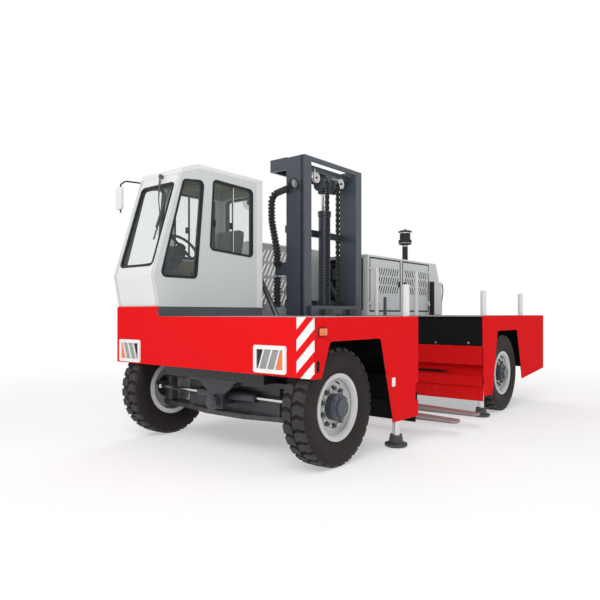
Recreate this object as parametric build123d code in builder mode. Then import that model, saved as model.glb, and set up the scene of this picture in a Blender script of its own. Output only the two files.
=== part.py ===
"""Side loader forklift: red deck chassis, narrow cab, reach mast in a side well, engine hood on the deck.

Frame: +X to the nose, +Y to the loading side, +Z up; origin on the ground under the middle of the machine.
Sizes are in millimetres.
"""

import os

from build123d import *

os.makedirs("parts", exist_ok=True)

# Layout along the machine
front_axle_x = 2430.0
front_overhang = 504.0
cab_length = 1558.0
well_setback = 186.0
well_length = 1710.0
rear_axle_setback = 890.0
rear_overhang = 1565.0
nose_x = front_axle_x + front_overhang
cab_rear_x = nose_x - cab_length
well_front_x = cab_rear_x - well_setback
well_rear_x = well_front_x - well_length
rear_axle_x = well_rear_x - rear_axle_setback
tail_x = rear_axle_x - rear_overhang
mast_x = (well_front_x + well_rear_x) / 2

# Layout across and up
body_width = 2734.0
left_y = body_width / 2
right_y = -body_width / 2
deck_z = 1318.0
nose_skirt_z = 820.0
side_skirt_z = 297.0
arch_z = 1115.0
plate = 12.0
seam = 0.4
running_gap = 0.3
hinge_pin_radius = 8.0
hinge_barrel_radius = 14.0
hinge_standoff = 17.0
louvre_width, louvre_depth, louvre_fill = 24.0, 9.0, 0.92
under_deck_z = deck_z - plate - seam
inner_left_y = left_y - plate - seam
inner_right_y = right_y + plate + seam

# Wheels
tyre_radius = 525.0
tyre_width = 256.0
tread_width = 214.0
rim_seat_radius = 264.0
rim_flange_radius = 298.0
rim_width = 212.0
rim_wall = 14.0
disc_offset = 24.0
disc_thickness = 16.0
stud_circle = 335.0
stud_count = 10
stud_radius = 14.0
hub_radius = 108.0
hub_length = 116.0
spindle_radius = 48.0
front_track_inset = 222.0
rear_track_inset = 182.0
front_half_track = left_y - front_track_inset
rear_half_track = left_y - rear_track_inset
axle_z = tyre_radius

# Steering
kingpin_inset = 75.0
kingpin_radius = 42.0
kingpin_boss_radius = 68.0
steer_arm = 150.0
steer_rod_z = 545.0
steer_rod_radius = 20.0
steer_barrel_radius = 48.0
steer_barrel_half = 400.0
kingpin_y = front_half_track - kingpin_inset

# Cab
cab_width = 715.0
cab_sill_z = 1418.0
cab_roof_z = 2985.0
roof_slope_setback = 563.0
windscreen_setback = 324.0
windscreen_top_z = 2900.0
knee_lead = 41.0
toe_setback = 19.0
knee_z = 1750.0
cab_wall = 45.0
roof_thickness = 60.0
seal_width = 26.0
seal_proud = 4.0
glass_thickness = 8.0
cab_left_y = right_y + cab_width
knee_x = nose_x + knee_lead
toe_x = nose_x - toe_setback
roof_slope_x = nose_x - roof_slope_setback
windscreen_x = nose_x - windscreen_setback
roof_under_z = cab_roof_z - roof_thickness
cab_mid_y = (right_y + cab_left_y) / 2

# Engine hood
hood_width = 1027.0
hood_top_z = 2205.0
hood_rear_gap = 166.0
hood_slope_run = 128.0
hood_slope_drop = 308.0
hood_wall = 30.0
hood_door_low_z, hood_door_high_z = 1390.0, 2155.0
hood_edge_radius = 16.0
hood_door_front_margin, hood_door_rear_margin, hood_pillar = 58.0, 417.0, 95.0
hood_left_y = right_y + hood_width
hood_front_x = well_rear_x
hood_rear_x = tail_x + hood_rear_gap

# Mast
trolley_side_gap = 115.0
mast_side_gap = 99.5
trolley_inner = well_length / 2 - trolley_side_gap
mast_half_width = trolley_inner - mast_side_gap
mast_setback = 1055.0
mast_front_y = right_y + mast_setback
mast_foot_z = 330.0
mast_top_z = 3330.0
mast_web = 30.0
mast_flange = 25.0
outer_depth = 265.0
outer_flange_reach = 110.0
outer_root_radius, inner_root_radius = 14.0, 8.0
stage_gap = 8.0
lift_setback = 173.0
chain_offset, chain_setback = 118.0, 38.0
sheave_radius, sheave_drop = 83.0, 270.0
tilt_pivot_setback, tilt_pivot_z = 148.0, 560.0
lift_y = mast_front_y - lift_setback
chain_y = mast_front_y - chain_setback
sheave_z = mast_top_z - sheave_drop
tilt_pivot_y = mast_front_y - tilt_pivot_setback
fork_offset = 275.0
fork_width = 170.0
fork_thickness = 67.0
fork_top_z = 212.0
fork_overreach = 178.0
fork_tip_y = left_y + fork_overreach


def write(builder, node):
    """Labels a finished piece and writes it as one STEP file."""
    builder.part.label = node
    export_step(builder.part, f"parts/{node}.step")


def block(low, high, mode=Mode.ADD):
    """A rectangular block between two corners, in either order."""
    size = [abs(b - a) for a, b in zip(low, high)]
    middle = [(a + b) / 2 for a, b in zip(low, high)]
    with Locations(tuple(middle)):
        Box(*size, mode=mode)


def bar(start, end, radius, mode=Mode.ADD):
    """A round bar between two points."""
    a, b = Vector(*start), Vector(*end)
    run = b - a
    with Locations(Plane(origin=a, z_dir=run.normalized())):
        Cylinder(radius, run.length, align=(Align.CENTER, Align.CENTER, Align.MIN), mode=mode)


def xz_plane(y, x=0.0, z=0.0):
    """Plane at the given y with local x along +X and local y along +Z; it faces -Y."""
    return Plane(origin=(x, y, z), x_dir=(1, 0, 0), z_dir=(0, -1, 0))


def yz_plane(x, y=0.0, z=0.0):
    """Plane at the given x with local x along +Y and local y along +Z; it faces +X."""
    return Plane(origin=(x, y, z), x_dir=(0, 1, 0), z_dir=(1, 0, 0))


def outline(plane, points, corner=0.0, inset=0.0):
    """A closed straight-sided face on a plane, with rounded corners, shrunk by an inset."""
    with BuildSketch(plane, mode=Mode.PRIVATE) as face:
        with BuildLine():
            Polyline(*points, close=True)
        make_face()
        if corner:
            fillet(face.vertices(), corner)
        if inset:
            offset(amount=-inset, mode=Mode.REPLACE)
    return face.sketch


def hinge_lug(x, y, z, away, wall_y):
    """The fixed half of a lift-off hinge: a lug on the wall and its pin."""
    block((x, y, z - 46), (x + away * 48, wall_y, z - 12))
    bar((x, y, z - 46), (x, y, z + 34), hinge_pin_radius)
    bar((x, y, z - 46), (x, y, z - 12), hinge_barrel_radius)


def hinge_leaf(x, y, z, away, wall_y):
    """The moving half of a lift-off hinge: a leaf on the door and its barrel."""
    low_z = z - 12 + running_gap
    block((x, y - 5, low_z), (x - away * 60, wall_y, z + 34))
    bar((x, y, low_z), (x, y, z + 34), hinge_barrel_radius)
    bar((x, y, low_z - 1), (x, y, z + 35), hinge_pin_radius + running_gap, Mode.SUBTRACT)


def section(points, low_z, high_z, radius, rounded):
    """An upright rolled section of a plan outline, rounded at the listed corners."""
    with BuildSketch(Plane.XY.offset(low_z), mode=Mode.PRIVATE) as plan:
        with BuildLine():
            Polyline(*points, close=True)
        make_face()
        wanted = [points[place] for place in rounded]
        picked = [v for v in plan.vertices() if any(abs(v.X - x) + abs(v.Y - y) < 0.1 for x, y in wanted)]
        fillet(picked, radius)
    extrude(plan.sketch, amount=high_z - low_z, dir=(0, 0, 1))


def louvres(y, near_x, far_x, low_z, high_z, columns, rows, lean):
    """A field of slanted slots sunk into a wall that faces the loading side."""
    pitch_x, pitch_z = (far_x - near_x) / columns, (high_z - low_z) / rows
    with BuildSketch(xz_plane(y, (near_x + far_x) / 2, (low_z + high_z) / 2), mode=Mode.PRIVATE) as field:
        with GridLocations(abs(pitch_x), pitch_z, columns, rows):
            Rectangle(louvre_width, pitch_z * louvre_fill, rotation=lean)
    extrude(field.sketch, amount=louvre_depth, dir=(0, -1, 0), mode=Mode.SUBTRACT)


# Side skirts: flat plates with trapezoid wheel arches, the same outline on both sides
front_arch = {"front_foot": 400.0, "front_top": 280.0, "rear_top": -511.0, "rear_foot": -742.0}
rear_arch = {"front_foot": 574.0, "front_top": 392.0, "rear_top": -360.0, "rear_foot": -576.0}
arch_corner = 40.0
notch_depth = 58.0
notch_low_z, notch_high_z = 460.0, 640.0
rear_foot_z = 403.0
tail_skirt_z = 487.0
rear_edge_rake = 47.0
front_skirt_points = [
    (nose_x - plate - seam, deck_z),
    (nose_x - plate - seam, nose_skirt_z),
    (front_axle_x + front_arch["front_foot"], nose_skirt_z),
    (front_axle_x + front_arch["front_top"], arch_z),
    (front_axle_x + front_arch["rear_top"], arch_z),
    (front_axle_x + front_arch["rear_foot"], side_skirt_z),
    (well_front_x, side_skirt_z),
    (well_front_x, notch_low_z),
    (well_front_x + notch_depth, notch_low_z),
    (well_front_x + notch_depth, notch_high_z),
    (well_front_x, notch_high_z),
    (well_front_x, deck_z),
]
rear_skirt_points = [
    (well_rear_x, deck_z),
    (well_rear_x - rear_edge_rake, side_skirt_z),
    (rear_axle_x + rear_arch["front_foot"], side_skirt_z),
    (rear_axle_x + rear_arch["front_top"], arch_z),
    (rear_axle_x + rear_arch["rear_top"], arch_z),
    (rear_axle_x + rear_arch["rear_foot"], rear_foot_z),
    (tail_x + plate + seam, tail_skirt_z),
    (tail_x + plate + seam, deck_z),
]


def skirt(points):
    """One arched side plate on each side of the body."""
    for outer_y, inward in ((left_y, -1), (right_y, 1)):
        with BuildSketch(xz_plane(outer_y), mode=Mode.PRIVATE) as side:
            with BuildLine():
                Polyline(*points, close=True)
            make_face()
            fillet([v for v in side.vertices() if abs(v.Y - arch_z) < 1], arch_corner)
        extrude(side.sketch, amount=plate, dir=(0, inward, 0))


step_width, step_height, step_corner = 290.0, 135.0, 24.0
step_reach, step_setback = 130.0, 280.0
step_zs = (520.0, 880.0)
with BuildPart() as front_skirts:
    skirt(front_skirt_points)
    for step_z in step_zs:
        step_x = well_front_x + step_setback
        with BuildSketch(xz_plane(right_y, step_x, step_z)):
            RectangleRounded(step_width, step_height, step_corner)
        extrude(amount=-2 * plate, mode=Mode.SUBTRACT)
        tray_z = step_z - step_height / 2
        block(
            (step_x - step_width / 2, right_y + plate / 2, tray_z - plate),
            (step_x + step_width / 2, right_y + step_reach, tray_z),
        )
write(front_skirts, "front_skirts")

with BuildPart() as rear_panels:
    skirt(rear_skirt_points)
    block((tail_x, right_y, tail_skirt_z), (tail_x + plate, left_y, deck_z))
write(rear_panels, "rear_panels")

# Front plate with two lamp openings; it stands higher in front of the cab
lamp_width, lamp_height, lamp_corner = 372.0, 238.0, 22.0
lamp_depth, lamp_proud = 25.0, 14.0
lamp_margin, lamp_bar, lamp_cell_depth = 36.0, 13.0, 18.0
lamp_places = [
    {"y": left_y - 469.0, "z": 958.0, "hand": 1},
    {"y": right_y + 244.0, "z": 950.0, "hand": -1},
]
lamp_bars = [
    {"foot": 0.09, "top": 0.29},
    {"foot": 0.40, "top": 0.60},
    {"foot": 0.70, "top": 0.885},
]
front_plate_points = [
    (right_y, nose_skirt_z),
    (left_y, nose_skirt_z),
    (left_y, deck_z),
    (cab_left_y, deck_z),
    (cab_left_y, cab_sill_z - seam),
    (right_y, cab_sill_z - seam),
]
with BuildPart() as front_plate:
    extrude(outline(yz_plane(nose_x - plate), front_plate_points), amount=plate)
    for lamp in lamp_places:
        with BuildSketch(yz_plane(nose_x, lamp["y"], lamp["z"])):
            RectangleRounded(lamp_width, lamp_height, lamp_corner)
        extrude(amount=-2 * plate, mode=Mode.SUBTRACT)
write(front_plate, "front_plate")

with BuildPart() as head_lamps:
    for lamp in lamp_places:
        with BuildSketch(yz_plane(nose_x - lamp_depth, lamp["y"], lamp["z"])):
            RectangleRounded(lamp_width - 2 * seam, lamp_height - 2 * seam, lamp_corner - seam)
        extrude(amount=lamp_depth + lamp_proud)
    half_width, half_height = lamp_width / 2 - lamp_margin, lamp_height / 2 - lamp_margin
    ends = [{"foot": 0.0, "top": 0.0}] + lamp_bars + [{"foot": 1.0, "top": 1.0}]
    for lamp in lamp_places:
        front = yz_plane(nose_x + lamp_proud, lamp["y"], lamp["z"])
        for first, second in zip(ends, ends[1:]):
            near = lamp_bar / 2 if first["top"] > 0.0 else 0.0
            far = lamp_bar / 2 if second["top"] < 1.0 else 0.0
            cell = [
                (2 * half_width * first["foot"] - half_width + near, -half_height),
                (2 * half_width * second["foot"] - half_width - far, -half_height),
                (2 * half_width * second["top"] - half_width - far, half_height),
                (2 * half_width * first["top"] - half_width + near, half_height),
            ]
            cell = [(lamp["hand"] * across, up) for across, up in cell]
            extrude(outline(front, cell), amount=-lamp_cell_depth, mode=Mode.SUBTRACT)
write(head_lamps, "head_lamps")

# Deck plates lie between the skirts, level with their tops
with BuildPart() as deck_plates:
    block(
        (well_front_x, inner_right_y, deck_z - plate),
        (nose_x - plate - seam, inner_left_y, deck_z),
    )
    block(
        (tail_x + plate + seam, inner_right_y, deck_z - plate),
        (well_rear_x, inner_left_y, deck_z),
    )
write(deck_plates, "deck_plates")

# Well walls: pressed plates with a channel that the mast trolley's rollers run in
wall_recess = 30.0
rail_depth = 96.0
rail_low_z, rail_high_z = 542.0, 694.0
wall_shoulder_z = 930.0
wall_step_z = 424.0
wall_foot_z = 235.0
wall_face = [
    (wall_recess, under_deck_z),
    (wall_recess, wall_shoulder_z),
    (0.0, wall_shoulder_z),
    (0.0, rail_high_z),
    (rail_depth, rail_high_z),
    (rail_depth, rail_low_z),
    (0.0, rail_low_z),
    (0.0, wall_step_z),
    (wall_recess, wall_step_z),
    (wall_recess, wall_foot_z),
]
wall_back = [
    (wall_recess + plate, wall_foot_z),
    (wall_recess + plate, wall_step_z + plate),
    (plate, wall_step_z + plate),
    (plate, rail_low_z - plate),
    (rail_depth + plate, rail_low_z - plate),
    (rail_depth + plate, rail_high_z + plate),
    (plate, rail_high_z + plate),
    (plate, wall_shoulder_z - plate),
    (wall_recess + plate, wall_shoulder_z - plate),
    (wall_recess + plate, under_deck_z),
]
with BuildPart() as well_walls:
    for face_x, away in ((well_front_x, 1), (well_rear_x, -1)):
        profile = [(face_x + away * depth, z) for depth, z in wall_face + wall_back]
        extrude(
            outline(xz_plane(inner_right_y), profile),
            amount=inner_left_y - inner_right_y,
            dir=(0, 1, 0),
        )
write(well_walls, "well_walls")

# Main frame: inner beams, cross beams over the axles, and the spine beam on the right of the well
front_beam_inset, rear_beam_inset, beam_width = 667.0, 807.0, 40.0
front_beam_y = left_y - front_beam_inset
rear_beam_y = left_y - rear_beam_inset
front_beam_z, rear_beam_z = 820.0, 760.0
bracket_near, bracket_far = 215.0, 370.0
bracket_top_z = 712.0
spine_depth, spine_foot_z = 312.0, 600.0
pivot_z, pivot_radius = 492.0, 45.0
with BuildPart() as main_frame:
    for side in (1, -1):
        block(
            (well_front_x + rail_depth + plate + seam, side * front_beam_y, front_beam_z),
            (nose_x - plate - seam, side * (front_beam_y - beam_width), under_deck_z),
        )
        block(
            (well_rear_x - rail_depth - plate - seam, side * rear_beam_y, rear_beam_z),
            (tail_x + plate + seam, side * (rear_beam_y - beam_width), under_deck_z),
        )
        block(
            (rear_axle_x - 130, side * rear_beam_y, axle_z + 95),
            (rear_axle_x + 130, side * (rear_beam_y - 90), rear_beam_z),
        )
    for lean in (1, -1):
        block(
            (front_axle_x + lean * bracket_near, -front_beam_y, bracket_top_z),
            (front_axle_x + lean * bracket_far, front_beam_y, front_beam_z + 80),
        )
    block(
        (rear_axle_x - 130, -rear_beam_y, under_deck_z - 240),
        (rear_axle_x + 130, rear_beam_y, under_deck_z),
    )
    block(
        (well_rear_x + seam, right_y, spine_foot_z),
        (well_front_x - seam, right_y + spine_depth, deck_z),
    )
write(main_frame, "main_frame")

# Axle brackets: cast yokes under the front cross beams that hold the axle's pivot pin
bracket_top_half, bracket_foot_half = 346.0, 80.0
bracket_plate, yoke_corner = 38.0, 26.0
with BuildPart() as axle_brackets:
    for lean in (1, -1):
        near_x = front_axle_x + lean * (bracket_near + 40)
        block(
            (front_axle_x + lean * bracket_near, -bracket_top_half, bracket_top_z - 16),
            (front_axle_x + lean * bracket_far, bracket_top_half, bracket_top_z - seam),
        )
        yoke = [
            (-bracket_top_half + 60, bracket_top_z - 10),
            (bracket_top_half - 60, bracket_top_z - 10),
            (bracket_foot_half, pivot_z + 60),
            (bracket_foot_half, pivot_z - 70),
            (-bracket_foot_half, pivot_z - 70),
            (-bracket_foot_half, pivot_z + 60),
        ]
        extrude(outline(yz_plane(near_x), yoke, yoke_corner), amount=lean * bracket_plate, dir=(1, 0, 0))
        bar(
            (front_axle_x + lean * (bracket_near + 5), 0, pivot_z),
            (front_axle_x + lean * bracket_far, 0, pivot_z),
            70,
        )
        bar(
            (front_axle_x + lean * (bracket_near - 40), 0, pivot_z),
            (front_axle_x + lean * (bracket_far + 14), 0, pivot_z),
            pivot_radius + running_gap,
            Mode.SUBTRACT,
        )
write(axle_brackets, "axle_brackets")

# Front axle: two plates on a middle block, with a pin eye at each end and the steering barrel in front
axle_plate_low_z, axle_plate_high_z, axle_plate = 335.0, 650.0, 46.0
axle_half_plan = [
    (0.0, 200.0),
    (260.0, 200.0),
    (620.0, 110.0),
    (kingpin_y, 74.0),
    (kingpin_y, -74.0),
    (620.0, -110.0),
    (260.0, -200.0),
    (0.0, -200.0),
]
with BuildPart() as front_axle:
    for low_z in (axle_plate_low_z, axle_plate_high_z):
        for side in (1, -1):
            plan = [(front_axle_x + x, side * y) for y, x in axle_half_plan]
            extrude(outline(Plane.XY.offset(low_z), plan), amount=axle_plate, dir=(0, 0, 1))
            with Locations((front_axle_x, side * kingpin_y, low_z)):
                Cylinder(
                    kingpin_boss_radius + 8,
                    axle_plate,
                    align=(Align.CENTER, Align.CENTER, Align.MIN),
                )
    for side in (1, -1):
        block(
            (front_axle_x - 90, side * 170, axle_plate_low_z + 10),
            (front_axle_x + 90, side * 640, axle_plate_high_z + 10),
        )
    block(
        (front_axle_x - 170, -180, axle_plate_low_z + 10),
        (front_axle_x + 80, 180, axle_plate_high_z + 10),
    )
    bar(
        (front_axle_x - bracket_far - 10, 0, pivot_z),
        (front_axle_x + bracket_far + 10, 0, pivot_z),
        pivot_radius,
    )
    bar(
        (front_axle_x + steer_arm, -steer_barrel_half, steer_rod_z),
        (front_axle_x + steer_arm, steer_barrel_half, steer_rod_z),
        steer_barrel_radius,
    )
    for side in (1, -1):
        block(
            (front_axle_x + 70, side * 230, steer_rod_z - 40),
            (front_axle_x + steer_arm - 10, side * 330, steer_rod_z + 40),
        )
        bar(
            (front_axle_x, side * kingpin_y, axle_plate_low_z - 20),
            (front_axle_x, side * kingpin_y, axle_plate_high_z + axle_plate + 20),
            kingpin_radius + running_gap,
            Mode.SUBTRACT,
        )
    bar(
        (front_axle_x + steer_arm, -steer_barrel_half - 20, steer_rod_z),
        (front_axle_x + steer_arm, steer_barrel_half + 20, steer_rod_z),
        steer_rod_radius + running_gap,
        Mode.SUBTRACT,
    )
write(front_axle, "front_axle")

# Steering rod: one rod through the barrel, with an eye at each end under a knuckle arm
eye_radius, eye_thickness = 38.0, 36.0
with BuildPart() as steering_rod:
    bar(
        (front_axle_x + steer_arm, -kingpin_y, steer_rod_z),
        (front_axle_x + steer_arm, kingpin_y, steer_rod_z),
        steer_rod_radius,
    )
    for side in (1, -1):
        with Locations((front_axle_x + steer_arm, side * kingpin_y, steer_rod_z)):
            Cylinder(eye_radius, eye_thickness)
write(steering_rod, "steering_rod")

# Knuckles: a kingpin between the axle plates, a spindle, and an arm over the rod's eye
arm_clear = 3.0
spindle_tip = 92.0
for side, name in ((1, "left"), (-1, "right")):
    with BuildPart() as knuckle:
        pin = (front_axle_x, side * kingpin_y)
        bar(
            (*pin, axle_plate_low_z + 2),
            (*pin, axle_plate_high_z + axle_plate - 2),
            kingpin_radius,
        )
        bar(
            (*pin, axle_plate_low_z + axle_plate + 3),
            (*pin, axle_plate_high_z - 3),
            kingpin_boss_radius,
        )
        bar(
            (front_axle_x, side * kingpin_y, axle_z),
            (front_axle_x, side * (front_half_track + spindle_tip), axle_z),
            spindle_radius,
        )
        arm_low_z = steer_rod_z + eye_thickness / 2 + arm_clear
        block(
            (front_axle_x, side * (kingpin_y - 34), arm_low_z),
            (front_axle_x + steer_arm + 34, side * (kingpin_y + 34), arm_low_z + 30),
        )
    write(knuckle, f"knuckle_{name}")

# Wheels: a tyre and a dished rim with its hub, made once for each corner
bead = rim_seat_radius + running_gap
bead_half = rim_width / 2 - rim_wall - running_gap
sidewall_foot = (bead_half, rim_flange_radius + 4)
sidewall_peak = (tyre_width / 2, rim_flange_radius + 0.544 * (tyre_radius - rim_flange_radius))
shoulder_foot = (tread_width / 2 + 4, tyre_radius - 20)
shoulder_top = (tread_width / 2 - 8, tyre_radius - 5)
crown = (0.0, tyre_radius)
corners = [
    {"name": "front_left", "x": front_axle_x, "y": front_half_track, "side": 1},
    {"name": "front_right", "x": front_axle_x, "y": -front_half_track, "side": -1},
    {"name": "rear_left", "x": rear_axle_x, "y": rear_half_track, "side": 1},
    {"name": "rear_right", "x": rear_axle_x, "y": -rear_half_track, "side": -1},
]
for corner in corners:
    centre = (corner["x"], corner["y"], axle_z)
    side = corner["side"]
    wheel_plane = yz_plane(*centre)
    wheel_axis = Axis(centre, (0, 1, 0))
    with BuildPart() as tyre:
        with BuildSketch(wheel_plane):
            with BuildLine():
                Polyline(crown, (0.0, bead), (bead_half, bead), sidewall_foot)
                ThreePointArc(sidewall_foot, sidewall_peak, shoulder_foot)
                Line(shoulder_foot, shoulder_top)
                TangentArc(crown, shoulder_top, tangent=(1, 0))
            make_face()
            mirror(about=Plane.YZ)
        revolve(axis=wheel_axis)
    write(tyre, f"tyre_{corner['name']}")

    flange_y = rim_width / 2
    rim_profile = [
        (-flange_y, rim_flange_radius),
        (-flange_y, rim_seat_radius - rim_wall),
        (disc_offset, rim_seat_radius - rim_wall),
        (disc_offset, spindle_radius + running_gap),
        (disc_offset + disc_thickness, spindle_radius + running_gap),
        (disc_offset + disc_thickness, rim_seat_radius - rim_wall - 20),
        (flange_y - 20, rim_seat_radius - rim_wall),
        (flange_y, rim_seat_radius),
        (flange_y, rim_flange_radius),
        (flange_y - rim_wall, rim_flange_radius),
        (flange_y - rim_wall, rim_seat_radius),
        (-flange_y + rim_wall, rim_seat_radius),
        (-flange_y + rim_wall, rim_flange_radius),
    ]
    hub_y = disc_offset + disc_thickness
    hub_profile = [
        (hub_y - 2, spindle_radius + running_gap),
        (hub_y - 2, hub_radius),
        (hub_y + hub_length - 40, hub_radius - 6),
        (hub_y + hub_length - 30, hub_radius - 24),
        (hub_y + hub_length, hub_radius - 30),
        (hub_y + hub_length, 0.0),
        (spindle_tip + 4, 0.0),
        (spindle_tip + 4, spindle_radius + running_gap),
    ]
    with BuildPart() as rim:
        revolve(outline(wheel_plane, [(side * y, r) for y, r in rim_profile]), axis=wheel_axis)
        revolve(outline(wheel_plane, [(side * y, r) for y, r in hub_profile]), axis=wheel_axis)
        with Locations(xz_plane(corner["y"] + side * (hub_y + 10), corner["x"], axle_z)):
            with PolarLocations(stud_circle / 2, stud_count):
                Cylinder(stud_radius, 24)
    write(rim, f"rim_{corner['name']}")

# Rear drive axle: banjo casing, tubes and spindles
banjo_radius, banjo_width, tube_radius = 215.0, 210.0, 92.0
with BuildPart() as rear_axle:
    with BuildSketch(yz_plane(rear_axle_x, 0, axle_z)):
        with BuildLine():
            Polyline(
                (0, 0),
                (0, banjo_radius),
                (60, banjo_radius),
                (banjo_width, tube_radius + 20),
                (420, tube_radius),
                (rear_half_track - 128, tube_radius),
                (rear_half_track - 128, spindle_radius),
                (rear_half_track + spindle_tip, spindle_radius),
                (rear_half_track + spindle_tip, 0),
                close=True,
            )
        make_face()
        mirror(about=Plane.YZ)
    revolve(axis=Axis((rear_axle_x, 0, axle_z), (0, 1, 0)))
    for side in (1, -1):
        block(
            (rear_axle_x - 130, side * (rear_beam_y - 90), axle_z - 30),
            (rear_axle_x + 130, side * rear_beam_y, axle_z + 95 - seam),
        )
    with Locations(Plane(origin=(rear_axle_x - 150, 0, axle_z), z_dir=(-1, 0, 0))):
        Cone(150, 70, 240, align=(Align.CENTER, Align.CENTER, Align.MIN))
write(rear_axle, "rear_axle")

# Stabilisers: barrels behind the left skirts, each with a rod and a foot pad that slide up
stabiliser_inset = 137.0
stabiliser_y = left_y - stabiliser_inset
stabiliser_rod_radius, stabiliser_barrel_radius = 39.0, 60.0
stabiliser_foot_radius, stabiliser_foot_height = 115.0, 34.0
stabiliser_barrel_z = 620.0
stabiliser_boss_z, stabiliser_rod_top_z = 124.0, 960.0
stabilisers = [
    {"name": "front", "x": well_front_x + 215.0},
    {"name": "rear", "x": well_rear_x - 271.0},
]
with BuildPart() as stabiliser_barrels:
    for leg in stabilisers:
        place = (leg["x"], stabiliser_y)
        bar((*place, stabiliser_barrel_z), (*place, under_deck_z - 4), stabiliser_barrel_radius)
        block(
            (leg["x"] - 50, stabiliser_y, 900),
            (leg["x"] + 50, inner_left_y, 1080),
        )
        bar(
            (*place, stabiliser_barrel_z - 10),
            (*place, under_deck_z - 40),
            stabiliser_rod_radius + running_gap,
            Mode.SUBTRACT,
        )
write(stabiliser_barrels, "stabiliser_barrels")

for leg in stabilisers:
    place = (leg["x"], stabiliser_y)
    with BuildPart() as stabiliser_leg:
        with BuildSketch(xz_plane(stabiliser_y, leg["x"])):
            with BuildLine():
                Polyline(
                    (0, 0),
                    (stabiliser_foot_radius - 18, 0),
                    (stabiliser_foot_radius, 14),
                    (stabiliser_foot_radius, stabiliser_foot_height),
                    (72, stabiliser_foot_height + 16),
                    (62, stabiliser_boss_z),
                    (stabiliser_rod_radius, stabiliser_boss_z),
                    (stabiliser_rod_radius, stabiliser_rod_top_z),
                    (0, stabiliser_rod_top_z),
                    close=True,
                )
            make_face()
        revolve(axis=Axis((*place, 0), (0, 0, 1)))
    write(stabiliser_leg, f"stabiliser_leg_{leg['name']}")

# Deck posts: stakes on the loading edge and taller guard posts before the hood
stake_y, stake_radius, stake_top_z = left_y - 57.0, 36.0, 1640.0
guard_radius, guard_top_z = 30.0, 1990.0
stop_radius, stop_top_z = 23.5, 1581.0
post_chamfer = 8.0
deck_posts_table = [
    {"x": well_front_x + 155, "y": stake_y, "radius": stake_radius, "top": stake_top_z},
    {"x": well_rear_x - 155, "y": stake_y, "radius": stake_radius, "top": stake_top_z},
    {"x": tail_x + 898, "y": stake_y, "radius": stake_radius, "top": stake_top_z},
    {"x": hood_front_x - 33, "y": hood_left_y + 264, "radius": stop_radius, "top": stop_top_z},
    {"x": hood_front_x - 33, "y": hood_left_y + 125, "radius": guard_radius, "top": guard_top_z},
    {"x": hood_front_x - 970, "y": hood_left_y + 261, "radius": guard_radius, "top": guard_top_z},
]
with BuildPart() as deck_posts:
    for post in deck_posts_table:
        place = (post["x"], post["y"])
        bar((*place, deck_z + seam), (*place, post["top"]), post["radius"])
    tops = deck_posts.edges().filter_by(GeomType.CIRCLE).filter_by(lambda e: e.center().Z > deck_z + 100)
    chamfer(tops, post_chamfer)
write(deck_posts, "deck_posts")

# Cab shell: plinth, side walls, folded front, rear wall and roof
ws_lean = (knee_x - windscreen_x) / (windscreen_top_z - knee_z)
ws_under_z = windscreen_top_z - roof_thickness
ws_under_x = windscreen_x + ws_lean * roof_thickness
cab_side_points = [
    (cab_rear_x, cab_sill_z),
    (cab_rear_x, roof_under_z),
    (roof_slope_x, roof_under_z),
    (ws_under_x, ws_under_z),
    (knee_x, knee_z),
    (toe_x, cab_sill_z),
]
front_quarter_window = [
    (nose_x - 330, 2780.0),
    (nose_x - 628, 2814.0),
    (nose_x - 522, 1722.0),
    (nose_x - 29, 1722.0),
]
rear_quarter_window = [
    (nose_x - 752, 2852.0),
    (cab_rear_x + 165, 2833.0),
    (cab_rear_x + 165, 2014.0),
    (nose_x - 701, 2052.0),
]
window_corner = 60.0
door_front_x, door_rear_x = nose_x - 672, cab_rear_x + 94
door_top_z = 2868.0
door_gap = 5.0
door_hinge_zs = (1640.0, 2640.0)
with BuildPart() as cab_plinth:
    block(
        (cab_rear_x, right_y, deck_z + seam),
        (nose_x - plate - seam, cab_left_y, cab_sill_z - seam),
    )
write(cab_plinth, "cab_plinth")

with BuildPart() as cab_left:
    extrude(outline(xz_plane(cab_left_y), cab_side_points), amount=cab_wall)
    for points in (front_quarter_window, rear_quarter_window):
        extrude(
            outline(xz_plane(cab_left_y), points, window_corner),
            amount=cab_wall,
            mode=Mode.SUBTRACT,
        )
write(cab_left, "cab_left")

with BuildPart() as cab_right:
    extrude(outline(xz_plane(right_y + cab_wall), cab_side_points), amount=cab_wall)
    extrude(
        outline(xz_plane(right_y + cab_wall), front_quarter_window, window_corner),
        amount=cab_wall,
        mode=Mode.SUBTRACT,
    )
    block(
        (door_rear_x, right_y - 1, cab_sill_z - 1),
        (door_front_x, right_y + cab_wall + 1, door_top_z),
        Mode.SUBTRACT,
    )
    block(
        (door_rear_x, right_y, cab_sill_z),
        (door_front_x, right_y + cab_wall, cab_sill_z + 40),
    )
    for hinge_z in door_hinge_zs:
        hinge_lug(door_front_x, right_y - hinge_standoff, hinge_z, 1, right_y)
write(cab_right, "cab_right")

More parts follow.
